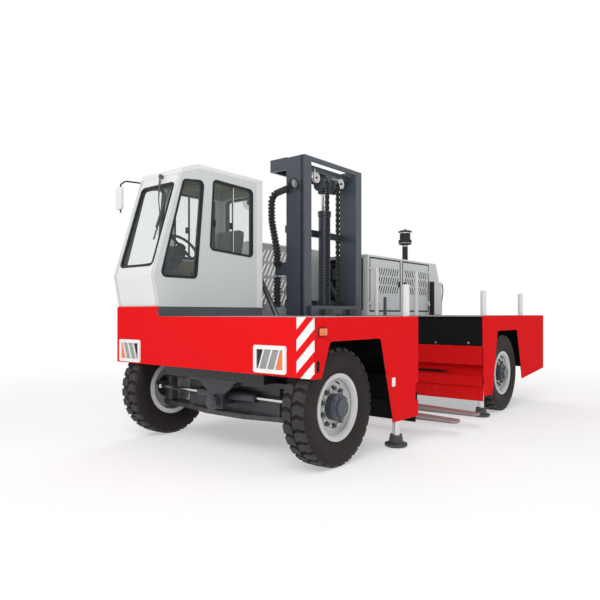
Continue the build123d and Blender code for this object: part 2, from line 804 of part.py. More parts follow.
front_back = cab_wall * 1.05
cab_front_points = [
    (toe_x, cab_sill_z),
    (knee_x, knee_z),
    (ws_under_x, ws_under_z),
    (ws_under_x - front_back, ws_under_z),
    (knee_x - front_back, knee_z),
    (toe_x - front_back, cab_sill_z),
]
cab_inner_left = cab_left_y - cab_wall - seam
cab_inner_right = right_y + cab_wall + seam
windscreen_low, windscreen_high, windscreen_margin = 90.0, 1050.0, 18.0
ws_half = (cab_inner_left - cab_inner_right) / 2 - windscreen_margin
windscreen_points = [
    (-ws_half, windscreen_low),
    (ws_half, windscreen_low),
    (ws_half, windscreen_high),
    (-ws_half, windscreen_high),
]
ws_plane = Plane(
    origin=(knee_x, cab_mid_y, knee_z),
    x_dir=(0, 1, 0),
    z_dir=(windscreen_top_z - knee_z, 0, knee_x - windscreen_x),
)
with BuildPart() as cab_front:
    extrude(
        outline(xz_plane(cab_inner_right), cab_front_points),
        amount=cab_inner_left - cab_inner_right,
        dir=(0, 1, 0),
    )
    extrude(
        outline(ws_plane, windscreen_points, window_corner),
        amount=-2 * cab_wall,
        mode=Mode.SUBTRACT,
    )
write(cab_front, "cab_front")

rear_window_half, rear_window_low, rear_window_high = 250.0, 1960.0, 2790.0
rear_window_points = [
    (-rear_window_half, rear_window_low),
    (rear_window_half, rear_window_low),
    (rear_window_half, rear_window_high),
    (-rear_window_half, rear_window_high),
]
rear_plane = yz_plane(cab_rear_x, cab_mid_y)
with BuildPart() as cab_rear:
    block(
        (cab_rear_x, cab_inner_right, cab_sill_z),
        (cab_rear_x + cab_wall, cab_inner_left, roof_under_z),
    )
    extrude(
        outline(rear_plane, rear_window_points, window_corner),
        amount=cab_wall,
        mode=Mode.SUBTRACT,
    )
write(cab_rear, "cab_rear")

roof_edge_radius = 22.0
roof_points = [
    (cab_rear_x, roof_under_z + seam),
    (roof_slope_x, roof_under_z + seam),
    (ws_under_x, ws_under_z + seam),
    (windscreen_x, windscreen_top_z),
    (roof_slope_x, cab_roof_z),
    (cab_rear_x, cab_roof_z),
]
with BuildPart() as cab_roof:
    extrude(outline(xz_plane(right_y), roof_points), amount=cab_width, dir=(0, 1, 0))
    fillet(cab_roof.edges().group_by(Axis.Z)[-1].filter_by(Axis.X), roof_edge_radius)
write(cab_roof, "cab_roof")

# Window seals and glass: a rubber ring in each opening and a pane inside it
fixed_windows = [
    {"plane": xz_plane(cab_left_y), "points": front_quarter_window, "inward": (0, -1, 0)},
    {"plane": xz_plane(cab_left_y), "points": rear_quarter_window, "inward": (0, -1, 0)},
    {"plane": xz_plane(right_y), "points": front_quarter_window, "inward": (0, 1, 0)},
    {"plane": rear_plane, "points": rear_window_points, "inward": (1, 0, 0)},
    {"plane": ws_plane, "points": windscreen_points, "inward": tuple(ws_plane.z_dir * -1)},
]


def shifted(plane, inward, distance):
    """The same plane moved along a direction."""
    return Plane(
        origin=plane.origin + Vector(*inward) * distance, x_dir=plane.x_dir, z_dir=plane.z_dir
    )


def seal_ring(window):
    """A rubber ring that fills the edge of a window opening and stands a little proud."""
    start = shifted(window["plane"], window["inward"], -seal_proud)
    depth = cab_wall + seal_proud
    extrude(
        outline(start, window["points"], window_corner, seam),
        amount=depth,
        dir=window["inward"],
    )
    extrude(
        outline(start, window["points"], window_corner, seal_width),
        amount=depth,
        dir=window["inward"],
        mode=Mode.SUBTRACT,
    )


def pane(window):
    """The glass inside a window's seal."""
    start = shifted(window["plane"], window["inward"], (cab_wall - glass_thickness) / 2)
    extrude(
        outline(start, window["points"], window_corner, seal_width + seam),
        amount=glass_thickness,
        dir=window["inward"],
    )


with BuildPart() as window_seals:
    for window in fixed_windows:
        seal_ring(window)
write(window_seals, "window_seals")

with BuildPart() as cab_glass:
    for window in fixed_windows:
        pane(window)
write(cab_glass, "cab_glass")

# Cab door on the right, hinged at its front edge
door_window_points = [
    (door_rear_x + 70, 2000.0),
    (door_front_x - 70, 2000.0),
    (door_front_x - 70, door_top_z - 70),
    (door_rear_x + 70, door_top_z - 70),
]
door_window = {"plane": xz_plane(right_y), "points": door_window_points, "inward": (0, 1, 0)}
with BuildPart() as cab_door:
    block(
        (door_rear_x + door_gap, right_y, cab_sill_z + 40 + door_gap),
        (door_front_x - door_gap, right_y + cab_wall, door_top_z - door_gap),
    )
    extrude(
        outline(xz_plane(right_y + cab_wall), door_window_points, window_corner),
        amount=cab_wall,
        mode=Mode.SUBTRACT,
    )
    for hinge_z in door_hinge_zs:
        hinge_leaf(door_front_x, right_y - hinge_standoff, hinge_z, 1, right_y)
write(cab_door, "cab_door")

with BuildPart() as door_seal:
    seal_ring(door_window)
write(door_seal, "door_seal")

with BuildPart() as door_glass:
    pane(door_window)
write(door_glass, "door_glass")

# Driver's seat, console and steering wheel
seat_setback, seat_top_z = 424.0, 1870.0
seat_x = cab_rear_x + seat_setback
seat_half = 235.0
with BuildPart() as seat:
    block(
        (seat_x - 230, cab_mid_y - seat_half, seat_top_z - 130),
        (seat_x + 260, cab_mid_y + seat_half, seat_top_z),
    )
    with BuildSketch(xz_plane(cab_mid_y - seat_half)):
        with BuildLine():
            Polyline(
                (seat_x - 230, seat_top_z - 60),
                (seat_x - 110, seat_top_z - 60),
                (seat_x - 190, seat_top_z + 520),
                (seat_x - 290, seat_top_z + 520),
                close=True,
            )
        make_face()
    extrude(amount=2 * seat_half, dir=(0, 1, 0))
    fillet(seat.edges().filter_by(Axis.Y), 28)
write(seat, "seat")

wheel_centre = (nose_x - 591, cab_mid_y, 2098.0)
wheel_ring_radius, wheel_grip_radius = 190.0, 15.0
wheel_lean = Vector(-0.62, 0, 0.785)
column_radius = 38.0
column_foot = Vector(*wheel_centre) - wheel_lean * 480
with BuildPart() as steering_column:
    bar(tuple(column_foot), wheel_centre, column_radius)
    with Locations(Plane(origin=wheel_centre, z_dir=wheel_lean)):
        Torus(wheel_ring_radius, wheel_grip_radius)
        Cylinder(52, 40)
        Box(2 * wheel_ring_radius, 40, 14)
write(steering_column, "steering_column")

dash_front_x = toe_x - front_back - 6
with BuildPart() as cab_consoles:
    with BuildSketch(xz_plane(cab_inner_right + 8)):
        with BuildLine():
            Polyline(
                (dash_front_x, cab_sill_z),
                (dash_front_x, 1790.0),
                (nose_x - 294, 1820.0),
                (nose_x - 374, 1760.0),
                (nose_x - 234, 1560.0),
                (nose_x - 194, cab_sill_z),
                close=True,
            )
        make_face()
    extrude(amount=cab_inner_left - cab_inner_right - 16, dir=(0, 1, 0))
    block((nose_x - 494, cab_mid_y - 70, cab_sill_z), (nose_x - 189, cab_mid_y + 70, 1640))
    bar(tuple(column_foot - wheel_lean * seam), wheel_centre, column_radius + seam, Mode.SUBTRACT)
    block(
        (seat_x - 200, cab_mid_y - 190, cab_sill_z),
        (seat_x + 210, cab_mid_y + 190, seat_top_z - 130 - seam),
    )
write(cab_consoles, "cab_consoles")

# Mirror on a bent arm from the cab's right front pillar
mirror_y = right_y - 123.0
mirror_x = nose_x - 122
mirror_foot = Vector(nose_x - 434, right_y - 10, 2838)
mirror_bend = Vector(nose_x - 144, right_y - 60, 2830)
with BuildPart() as mirror_arm:
    with BuildLine():
        FilletPolyline(
            mirror_foot,
            mirror_bend,
            (mirror_x, mirror_y, 2800.0),
            (mirror_x, mirror_y, 2480.0),
            radius=30,
        )
    with BuildSketch(Plane(origin=mirror_foot, z_dir=mirror_bend - mirror_foot)):
        Circle(9)
    sweep()
    bar((mirror_foot.X, right_y - seam, mirror_foot.Z), (mirror_foot.X, right_y - 18, mirror_foot.Z), 20)
    with BuildSketch(yz_plane(mirror_x - 1, mirror_y, 2640.0)):
        RectangleRounded(110, 250, 28)
    extrude(amount=26)
write(mirror_arm, "mirror_arm")

# Engine hood: a shell on the rear deck with two doors on the loading side
hood_points = [
    (hood_front_x, deck_z + seam),
    (hood_front_x, hood_top_z),
    (hood_rear_x + hood_slope_run, hood_top_z),
    (hood_rear_x, hood_top_z - hood_slope_drop),
    (hood_rear_x, deck_z + seam),
]
hood_inner_points = [
    (hood_front_x - hood_wall, deck_z - 1),
    (hood_front_x - hood_wall, hood_top_z - hood_wall),
    (hood_rear_x + hood_slope_run + hood_wall * 0.6, hood_top_z - hood_wall),
    (hood_rear_x + hood_wall, hood_top_z - hood_slope_drop - hood_wall * 0.3),
    (hood_rear_x + hood_wall, deck_z - 1),
]
first_door_x = hood_front_x - hood_door_front_margin
last_door_x = hood_rear_x + hood_door_rear_margin
hood_door_length = (first_door_x - last_door_x - hood_pillar) / 2
hood_doors = [
    {
        "name": "front",
        "from": first_door_x,
        "to": first_door_x - hood_door_length,
        "hinge": first_door_x,
        "away": 1,
        "louvre_near": 212.0,
        "louvre_far": 37.5,
        "columns": 9,
        "lean": 24.0,
    },
    {
        "name": "rear",
        "from": last_door_x + hood_door_length,
        "to": last_door_x,
        "hinge": last_door_x,
        "away": -1,
        "louvre_near": 67.5,
        "louvre_far": 62.0,
        "columns": 10,
        "lean": -24.0,
    },
]
hood_hinge_zs = (1520.0, 2030.0)
hood_hinge_y = hood_left_y + hinge_standoff
door_clear = 4.0
grille_margin, grille_depth, grille_frame = 90.0, 10.0, 40.0
grille_slot, grille_slots = 34.0, 12
grille_width, grille_height = hood_width - 2 * grille_margin, hood_door_high_z - hood_door_low_z
grille_mid_z = (hood_door_low_z + hood_door_high_z) / 2
grille_plane = yz_plane(hood_front_x, (right_y + hood_left_y) / 2, grille_mid_z)
louvre_low_z, louvre_high_z, louvre_rows = 1640.0, 2040.0, 3
with BuildPart() as hood_shell:
    extrude(outline(xz_plane(right_y), hood_points), amount=hood_width, dir=(0, 1, 0))
    extrude(
        outline(xz_plane(right_y + hood_wall), hood_inner_points),
        amount=hood_width - 2 * hood_wall,
        dir=(0, 1, 0),
        mode=Mode.SUBTRACT,
    )
    fillet(hood_shell.edges().group_by(Axis.Z)[-1].filter_by(Axis.X), hood_edge_radius)
    with BuildSketch(grille_plane):
        Rectangle(grille_width, grille_height)
    extrude(amount=-grille_depth, mode=Mode.SUBTRACT)
    with BuildSketch(grille_plane):
        with GridLocations(0, grille_height / grille_slots, 1, grille_slots):
            Rectangle(grille_width - 2 * grille_frame, grille_slot)
    extrude(amount=-2 * hood_wall, mode=Mode.SUBTRACT)
    for door in hood_doors:
        block(
            (door["from"], hood_left_y - 2 * hood_wall, hood_door_low_z),
            (door["to"], hood_left_y + 1, hood_door_high_z),
            Mode.SUBTRACT,
        )
    for door in hood_doors:
        for hinge_z in hood_hinge_zs:
            hinge_lug(door["hinge"], hood_hinge_y, hinge_z, door["away"], hood_left_y)
write(hood_shell, "hood_shell")

for door in hood_doors:
    with BuildPart() as hood_door:
        block(
            (door["from"] - door_clear, hood_left_y - hood_wall, hood_door_low_z + door_clear),
            (door["to"] + door_clear, hood_left_y, hood_door_high_z - door_clear),
        )
        louvres(
            hood_left_y,
            door["from"] - door["louvre_near"],
            door["to"] + door["louvre_far"],
            louvre_low_z,
            louvre_high_z,
            door["columns"],
            louvre_rows,
            door["lean"],
        )
        for hinge_z in hood_hinge_zs:
            hinge_leaf(door["hinge"], hood_hinge_y, hinge_z, door["away"], hood_left_y)
    write(hood_door, f"hood_door_{door['name']}")

# Engine, a plain block inside the hood
with BuildPart() as engine:
    block(
        (hood_rear_x + 659, right_y + 187, deck_z + seam),
        (hood_front_x - 430, hood_left_y - 180, deck_z + 720),
    )
write(engine, "engine")

# Air cleaner stack on the hood
cleaner_x, cleaner_y = hood_rear_x + 739, hood_left_y - 260
cleaner_stem, cleaner_bowl, cleaner_drum, cleaner_cap = 46.0, 110.0, 88.0, 116.0
cleaner_profile = [
    (0.0, seam),
    (cleaner_stem, seam),
    (cleaner_stem, 285.0),
    (cleaner_bowl - 10, 300.0),
    (cleaner_bowl, 312.0),
    (cleaner_bowl, 372.0),
    (cleaner_drum, 384.0),
    (cleaner_drum, 500.0),
    (cleaner_cap, 506.0),
    (cleaner_cap, 516.0),
    (cleaner_drum, 532.0),
    (24.0, 536.0),
    (20.0, 552.0),
    (0.0, 556.0),
]
with BuildPart() as air_cleaner:
    with BuildSketch(xz_plane(cleaner_y, cleaner_x, hood_top_z)):
        with BuildLine():
            Polyline(*cleaner_profile, close=True)
        make_face()
    revolve(axis=Axis((cleaner_x, cleaner_y, 0), (0, 0, 1)))
write(air_cleaner, "air_cleaner")

# Slim box at the rear of the hood and the louvred cover beside the well
with BuildPart() as side_box:
    block(
        (last_door_x - 54, hood_left_y + seam, deck_z + seam),
        (hood_rear_x + 84, hood_left_y + 90, deck_z + 567),
    )
    fillet(side_box.edges().group_by(Axis.Y)[-1].filter_by(Axis.X), 14)
write(side_box, "side_box")

cover_depth, cover_top_z, cover_gap = 315.0, 2300.0, 276.0
cover_louvre_margin, cover_louvre_run = 50.0, 900.0
cover_louvre_columns, cover_louvre_rows, cover_louvre_lean = 12, 4, 30.0
with BuildPart() as side_cover:
    block(
        (well_rear_x + 6, right_y, deck_z + seam),
        (cab_rear_x - cover_gap, right_y + cover_depth, cover_top_z),
    )
    fillet(side_cover.edges().group_by(Axis.Z)[-1].filter_by(Axis.X), 40)
    louvres(
        right_y + cover_depth,
        cab_rear_x - cover_gap - cover_louvre_margin,
        cab_rear_x - cover_gap - cover_louvre_margin - cover_louvre_run,
        deck_z + 132,
        cover_top_z - 80,
        cover_louvre_columns,
        cover_louvre_rows,
        cover_louvre_lean,
    )
write(side_cover, "side_cover")

# Mast trolley: roller frame in the well walls' channels, with rear towers and braces
trolley_plate = 40.0
trolley_rear_y, trolley_front_y = mast_front_y - 728, mast_front_y + 42
trolley_low_z, trolley_high_z = 500.0, 740.0
tower_y, tower_width, tower_top_z = mast_front_y - 689, 64.0, 1935.0
tilt_pin_z, mast_pin_y, mast_pin_z = 1155.0, mast_front_y - 352, 1250.0
tilt_plane_gap = 42.5
tilt_plane_offset = mast_half_width + tilt_plane_gap
roller_radius = (rail_high_z - rail_low_z) / 2 - running_gap
roller_z = (rail_high_z + rail_low_z) / 2
roller_rows = (mast_front_y - 618, mast_front_y - 48)
with BuildPart() as mast_trolley:
    for side in (1, -1):
        inner_x = mast_x + side * trolley_inner
        outer_x = mast_x + side * (trolley_inner + trolley_plate)
        mid_x = (inner_x + outer_x) / 2
        block((inner_x, trolley_rear_y, trolley_low_z), (outer_x, trolley_front_y, trolley_high_z))
        for roller_y in roller_rows:
            bar(
                (mid_x, roller_y, roller_z),
                (mast_x + side * (well_length / 2 + rail_depth - 8), roller_y, roller_z),
                roller_radius,
            )
        block(
            (inner_x, tower_y - tower_width / 2, trolley_high_z - 10),
            (outer_x, tower_y + tower_width / 2, tower_top_z),
        )
        bar((mid_x, tower_y, tower_top_z - 60), (mid_x, trolley_front_y - 40, trolley_high_z - 20), 34)
        bar(
            (mid_x, tower_y, tilt_pin_z),
            (mast_x + side * (tilt_plane_offset - 30), tower_y, tilt_pin_z),
            20,
        )
        bar(
            (mid_x, tilt_pivot_y, tilt_pivot_z),
            (mast_x + side * (mast_half_width - mast_web + 2), tilt_pivot_y, tilt_pivot_z),
            38,
        )
    block(
        (mast_x - trolley_inner - 5, trolley_rear_y, trolley_low_z + 40),
        (mast_x + trolley_inner + 5, trolley_rear_y + 70, trolley_high_z - 40),
    )
write(mast_trolley, "mast_trolley")

# Tilt cylinders: a barrel on each tower and a rod to the outer mast
tilt_run = Vector(0, mast_pin_y - tower_y, mast_pin_z - tilt_pin_z)
tilt_length = tilt_run.length
tilt_dir = tilt_run.normalized()
tilt_barrel_length, tilt_barrel_radius, tilt_rod_radius = 215.0, 38.0, 22.0
tilt_rod_reach = 215.0
tilt_eye_clearance = 2.6
with BuildPart() as tilt_barrels:
    for side in (1, -1):
        foot = Vector(mast_x + side * tilt_plane_offset, tower_y, tilt_pin_z)
        bar(
            (foot.X - 26, foot.Y, foot.Z),
            (foot.X + 26, foot.Y, foot.Z),
            tilt_barrel_radius,
        )
        bar(tuple(foot), tuple(foot + tilt_dir * tilt_barrel_length), tilt_barrel_radius)
        bar(
            tuple(foot + tilt_dir * 60),
            tuple(foot + tilt_dir * (tilt_barrel_length + 5)),
            tilt_rod_radius + running_gap,
            Mode.SUBTRACT,
        )
        bar(
            (foot.X - 60, foot.Y, foot.Z),
            (foot.X + 60, foot.Y, foot.Z),
            20 + running_gap,
            Mode.SUBTRACT,
        )
write(tilt_barrels, "tilt_barrels")

with BuildPart() as tilt_rods:
    for side in (1, -1):
        foot = Vector(mast_x + side * tilt_plane_offset, tower_y, tilt_pin_z)
        bar(
            tuple(foot + tilt_dir * (tilt_length - tilt_rod_reach)),
            tuple(foot + tilt_dir * (tilt_length - 25)),
            tilt_rod_radius,
        )
        eye = foot + tilt_run
        bar((eye.X - 22, eye.Y, eye.Z), (eye.X + 22, eye.Y, eye.Z), 36)
        bar((eye.X - 40, eye.Y, eye.Z), (eye.X + 40, eye.Y, eye.Z), 20 + tilt_eye_clearance, Mode.SUBTRACT)
write(tilt_rods, "tilt_rods")

# Outer mast: two channels, cross members, tilt lugs and the deep top beam
outer_front_y = mast_front_y - mast_flange - stage_gap
outer_rear_y = outer_front_y - outer_depth
top_beam_rear_y = mast_front_y - 574
top_beam_low_z, top_beam_high_z = mast_top_z - 147, mast_top_z + 10
hose_shelf_y, hose_shelf_low_z, hose_shelf_high_z = mast_front_y - 488, 1836.0, 2000.0
cross_members = [
    (mast_foot_z, mast_foot_z + 90),
    (mast_foot_z + 370, mast_foot_z + 500),
    (mast_foot_z + 1090, mast_foot_z + 1190),
    (mast_top_z - 950, mast_top_z - 860),
]
with BuildPart() as outer_mast:
    for side in (1, -1):
        web_x = mast_x + side * mast_half_width
        inner_x = web_x - side * mast_web
        lip_x = web_x - side * outer_flange_reach
        channel = [
            (web_x, outer_rear_y),
            (lip_x, outer_rear_y),
            (lip_x, outer_rear_y + mast_flange),
            (inner_x, outer_rear_y + mast_flange),
            (inner_x, outer_front_y - mast_flange),
            (lip_x, outer_front_y - mast_flange),
            (lip_x, outer_front_y),
            (web_x, outer_front_y),
        ]
        section(channel, mast_foot_z, mast_top_z, outer_root_radius, (3, 4))
        block(
            (web_x, outer_rear_y + 5, hose_shelf_low_z),
            (inner_x, hose_shelf_y, hose_shelf_high_z),
        )
        block((web_x, outer_rear_y + 5, mast_pin_z - 70), (inner_x, mast_pin_y - 50, mast_pin_z + 70))
        bar(
            (inner_x, mast_pin_y, mast_pin_z),
            (mast_x + side * (tilt_plane_offset + 26), mast_pin_y, mast_pin_z),
            20,
        )
        bar(
            (mast_x + side * (mast_half_width - 60), tilt_pivot_y, tilt_pivot_z),
            (mast_x + side * (mast_half_width + 5), tilt_pivot_y, tilt_pivot_z),
            38 + running_gap,
            Mode.SUBTRACT,
        )
    for low_z, high_z in cross_members:
        block(
            (mast_x - mast_half_width + 10, outer_rear_y - 30, low_z),
            (mast_x + mast_half_width - 10, outer_rear_y + 10, high_z),
        )
    block(
        (mast_x - 220, outer_rear_y - 10, mast_foot_z),
        (mast_x + 220, lift_y + 90, mast_foot_z + 30),
    )
    block(
        (mast_x - mast_half_width, top_beam_rear_y, top_beam_low_z),
        (mast_x + mast_half_width, outer_rear_y + 5, top_beam_high_z),
    )
    block(
        (mast_x - mast_half_width + 30, top_beam_rear_y + 30, top_beam_low_z - 1),
        (mast_x + mast_half_width - 30, outer_rear_y - 30, top_beam_high_z - 12),
        Mode.SUBTRACT,
    )
write(outer_mast, "outer_mast")

# Lift cylinder in the middle of the mast
lift_barrel_radius, lift_rod_radius = 80.0, 47.5
lift_barrel_top_z = mast_top_z - 613
with BuildPart() as lift_barrel:
    place = (mast_x, lift_y)
    bar((*place, mast_foot_z + 30 + seam), (*place, lift_barrel_top_z), lift_barrel_radius)
    bar((*place, lift_barrel_top_z - 70), (*place, lift_barrel_top_z), lift_barrel_radius + 10)
    bar(
        (*place, 700),
        (*place, lift_barrel_top_z + 1),
        lift_rod_radius + running_gap,
        Mode.SUBTRACT,
    )
    block(
        (mast_x - 50, outer_rear_y + 10 + seam, mast_top_z - 940),
        (mast_x + 50, lift_y - 60, mast_top_z - 870),
    )
write(lift_barrel, "lift_barrel")

# Inner mast: channels nested in the outer ones, tied by cross plates
inner_web_inset = 140.5
inner_web_offset = mast_half_width - inner_web_inset
inner_web = 25.0
inner_rear_y = outer_rear_y + mast_flange + 10
inner_foot_z = 440.0
crosshead_top_z = mast_top_z - 140
with BuildPart() as inner_mast:
    for side in (1, -1):
        web_near = mast_x + side * inner_web_offset
        web_far = mast_x + side * (inner_web_offset + inner_web)
        rear_lip = mast_x + side * (mast_half_width - mast_web - 10)
        front_lip = mast_x + side * mast_half_width
        channel = [
            (web_near, inner_rear_y),
            (rear_lip, inner_rear_y),
            (rear_lip, inner_rear_y + 20),
            (web_far, inner_rear_y + 20),
            (web_far, mast_front_y - mast_flange),
            (front_lip, mast_front_y - mast_flange),
            (front_lip, mast_front_y),
            (web_near, mast_front_y),
        ]
        section(channel, inner_foot_z, mast_top_z, inner_root_radius, (3, 4))
    block(
        (mast_x - inner_web_offset - 5, mast_front_y - mast_flange, mast_top_z - 60),
        (mast_x + inner_web_offset + 5, mast_front_y, mast_top_z),
    )
    block(
        (mast_x - inner_web_offset - 5, lift_y - 55, crosshead_top_z),
        (mast_x + inner_web_offset + 5, lift_y + 55, crosshead_top_z + 72),
    )
write(inner_mast, "inner_mast")

# Lift rod and crosshead with the chain sheaves
with BuildPart() as lift_rod:
    bar((mast_x, lift_y, 760), (mast_x, lift_y, crosshead_top_z - 230), lift_rod_radius)
    block(
        (mast_x - 70, lift_y - 55, crosshead_top_z - 240),
        (mast_x + 70, lift_y + 75, crosshead_top_z - seam),
    )
    sheave_y = chain_y - 12 - sheave_radius
    bar(
        (mast_x - chain_offset - 60, sheave_y, sheave_z),
        (mast_x + chain_offset + 60, sheave_y, sheave_z),
        24,
    )
    for side in (1, -1):
        for face, radius in ((-48, sheave_radius + 14), (-40, sheave_radius), (40, sheave_radius + 14)):
            wide = 80 if face == -40 else 8
            bar(
                (mast_x + side * chain_offset + face, sheave_y, sheave_z),
                (mast_x + side * chain_offset + face + wide, sheave_y, sheave_z),
                radius,
            )
write(lift_rod, "lift_rod")

# Lift chains: the front falls from the sheaves to the fork carriage
chain_width, chain_thickness, chain_foot_z = 72.0, 24.0, 560.0
chain_core_width, chain_core, chain_pitch, chain_link_height = 58.0, 12.0, 71.4, 36.0
with BuildPart() as lift_chains:
    for side in (1, -1):
        mid = mast_x + side * chain_offset
        block(
            (mid - chain_core_width / 2, chain_y - chain_thickness / 2, chain_foot_z),
            (mid + chain_core_width / 2, chain_y - chain_thickness / 2 + chain_core, sheave_z),
        )
        links = int((sheave_z - chain_foot_z) / chain_pitch)
        with Locations((mid, chain_y, (chain_foot_z + sheave_z) / 2)):
            with Locations(Plane.XZ):
                with GridLocations(0, (sheave_z - chain_foot_z) / links, 1, links):
                    Box(chain_width, chain_link_height, chain_thickness)
write(lift_chains, "lift_chains")

# Fork carriage: two bars, uprights, and roller arms between the inner channels
carriage_rear_y, carriage_front_y = mast_front_y + 9, mast_front_y + 49
carriage_roller_y = mast_front_y - 128
carriage_side_gap = 80.5
carriage_half = mast_half_width - carriage_side_gap
carriage_low = (450.0, 560.0)
carriage_high = (1330.0, 1445.0)
with BuildPart() as fork_carriage:
    for low_z, high_z in (carriage_low, carriage_high):
        block(
            (mast_x - carriage_half, carriage_rear_y, low_z),
            (mast_x + carriage_half, carriage_front_y, high_z),
        )
    for side in (1, -1):
        block(
            (mast_x + side * (inner_web_offset - 70), carriage_rear_y, carriage_low[0]),
            (mast_x + side * (inner_web_offset - 20), carriage_front_y, carriage_high[1]),
        )
        block(
            (mast_x + side * (inner_web_offset - 45), inner_rear_y + 20, 620),
            (mast_x + side * (inner_web_offset - 25), carriage_rear_y + 10, 1300),
        )
        for roller_height in (700, 1220):
            bar(
                (mast_x + side * (inner_web_offset - 40), carriage_roller_y, roller_height),
                (mast_x + side * (inner_web_offset - 3), carriage_roller_y, roller_height),
                80,
            )
        block(
            (mast_x + side * chain_offset - 50, chain_y - 30, carriage_low[1] - 70),
            (mast_x + side * chain_offset + 50, carriage_rear_y + 5, carriage_low[1] - seam),
        )
write(fork_carriage, "fork_carriage")

# Forks: bent bars with rounded heels and tapered tips
shank_thickness, shank_top_z, heel_radius = 62.0, 1400.0, 70.0
fork_tip_radius = 55.0
fork_back_y = carriage_front_y + seam
fork_points = [
    (fork_back_y, shank_top_z),
    (fork_back_y, fork_top_z - fork_thickness),
    (fork_tip_y, fork_top_z - fork_thickness + 12),
    (fork_tip_y, fork_top_z - 28),
    (fork_tip_y - 900, fork_top_z),
    (fork_back_y + shank_thickness, fork_top_z),
    (fork_back_y + shank_thickness, shank_top_z),
]
with BuildPart() as forks:
    for side in (1, -1):
        mid = mast_x + side * fork_offset
        with BuildSketch(yz_plane(mid - fork_width / 2), mode=Mode.PRIVATE) as bent:
            with BuildLine():
                Polyline(*fork_points, close=True)
            make_face()
            outer_heel = (fork_back_y, fork_top_z - fork_thickness)
            inner_heel = (fork_back_y + shank_thickness, fork_top_z)
            for heel, radius in ((outer_heel, heel_radius), (inner_heel, heel_radius / 3)):
                fillet([v for v in bent.vertices() if abs(v.X - heel[0]) + abs(v.Y - heel[1]) < 0.1], radius)
        extrude(bent.sketch, amount=fork_width)
    tips = forks.edges().filter_by(Axis.Z).filter_by(lambda e: e.center().Y > fork_tip_y - 1)
    fillet(tips, fork_tip_radius)
write(forks, "forks")

# Hose guide beside the mast and the work lamps at its head
hose_x = mast_x + mast_half_width + 32
hose_top_z, hose_foot_z = mast_top_z - 405, hose_shelf_high_z + 5
hose_drop = hose_top_z - hose_foot_z
hose_bend = 0.14 * hose_drop
hose_start = Vector(hose_x, mast_front_y - 263, hose_top_z)
hose_crest = Vector(hose_x, mast_front_y - 520, hose_top_z - 0.05 * hose_drop)
with BuildPart() as hose_guide:
    with BuildLine():
        FilletPolyline(
            hose_start,
            hose_crest,
            (hose_x, mast_front_y - 524, hose_foot_z + 0.60 * hose_drop),
            (hose_x, mast_front_y - 425, hose_foot_z + 0.15 * hose_drop),
            (hose_x, mast_front_y - 423, hose_foot_z),
            radius=hose_bend,
        )
    with BuildSketch(Plane(origin=hose_start, x_dir=(1, 0, 0), z_dir=hose_crest - hose_start)):
        RectangleRounded(62, 44, 12)
    sweep()
    block(
        (mast_x + mast_half_width + seam, mast_front_y - 288, hose_top_z - 40),
        (hose_x + 20, mast_front_y - 248, hose_top_z + 35),
    )
    block(
        (mast_x + mast_half_width + seam, mast_front_y - 468, hose_foot_z - 45),
        (hose_x + 20, mast_front_y - 378, hose_foot_z + 15),
    )
write(hose_guide, "hose_guide")

work_lamp_radius = 66.0
work_lamp_y, work_lamp_z = mast_front_y - 166, mast_top_z - 365
with BuildPart() as work_lamps:
    for side in (1, -1):
        face_x = mast_x + side * mast_half_width
        bar(
            (face_x + side * seam, work_lamp_y, work_lamp_z),
            (face_x + side * 30, work_lamp_y, work_lamp_z),
            18,
        )
        lamp_x = face_x + side * (work_lamp_radius + 8)
        bowl = [
            (-20.0, 0.0),
            (-20.0, work_lamp_radius - 30),
            (15.0, work_lamp_radius - 4),
            (52.0, work_lamp_radius - 4),
            (52.0, work_lamp_radius),
            (70.0, work_lamp_radius),
            (70.0, work_lamp_radius - 8),
            (60.0, work_lamp_radius - 8),
            (60.0, 0.0),
        ]
        lamp_plane = yz_plane(lamp_x, work_lamp_y, work_lamp_z)
        revolve(outline(lamp_plane, bowl), axis=Axis((lamp_x, work_lamp_y, work_lamp_z), (0, 1, 0)))
write(work_lamps, "work_lamps")
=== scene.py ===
"""Side loader forklift: finishes, tyres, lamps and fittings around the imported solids. Sizes are in metres."""

from math import atan2, cos, pi, radians, sin

import bmesh
import bpy
from mathutils import Matrix, Vector


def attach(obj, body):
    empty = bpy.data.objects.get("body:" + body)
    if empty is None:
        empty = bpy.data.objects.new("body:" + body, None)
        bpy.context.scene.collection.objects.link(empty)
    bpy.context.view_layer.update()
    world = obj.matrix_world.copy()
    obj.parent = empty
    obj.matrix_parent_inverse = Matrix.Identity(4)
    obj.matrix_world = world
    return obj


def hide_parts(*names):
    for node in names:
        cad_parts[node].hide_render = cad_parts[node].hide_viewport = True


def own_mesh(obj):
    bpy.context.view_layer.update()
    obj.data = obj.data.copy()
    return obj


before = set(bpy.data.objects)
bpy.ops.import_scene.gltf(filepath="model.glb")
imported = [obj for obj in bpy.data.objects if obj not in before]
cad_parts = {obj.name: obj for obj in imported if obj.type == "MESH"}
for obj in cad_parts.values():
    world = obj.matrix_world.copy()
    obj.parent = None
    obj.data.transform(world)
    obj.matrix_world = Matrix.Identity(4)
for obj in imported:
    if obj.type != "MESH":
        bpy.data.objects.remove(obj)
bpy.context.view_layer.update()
scene = bpy.context.scene


# Shader arithmetic

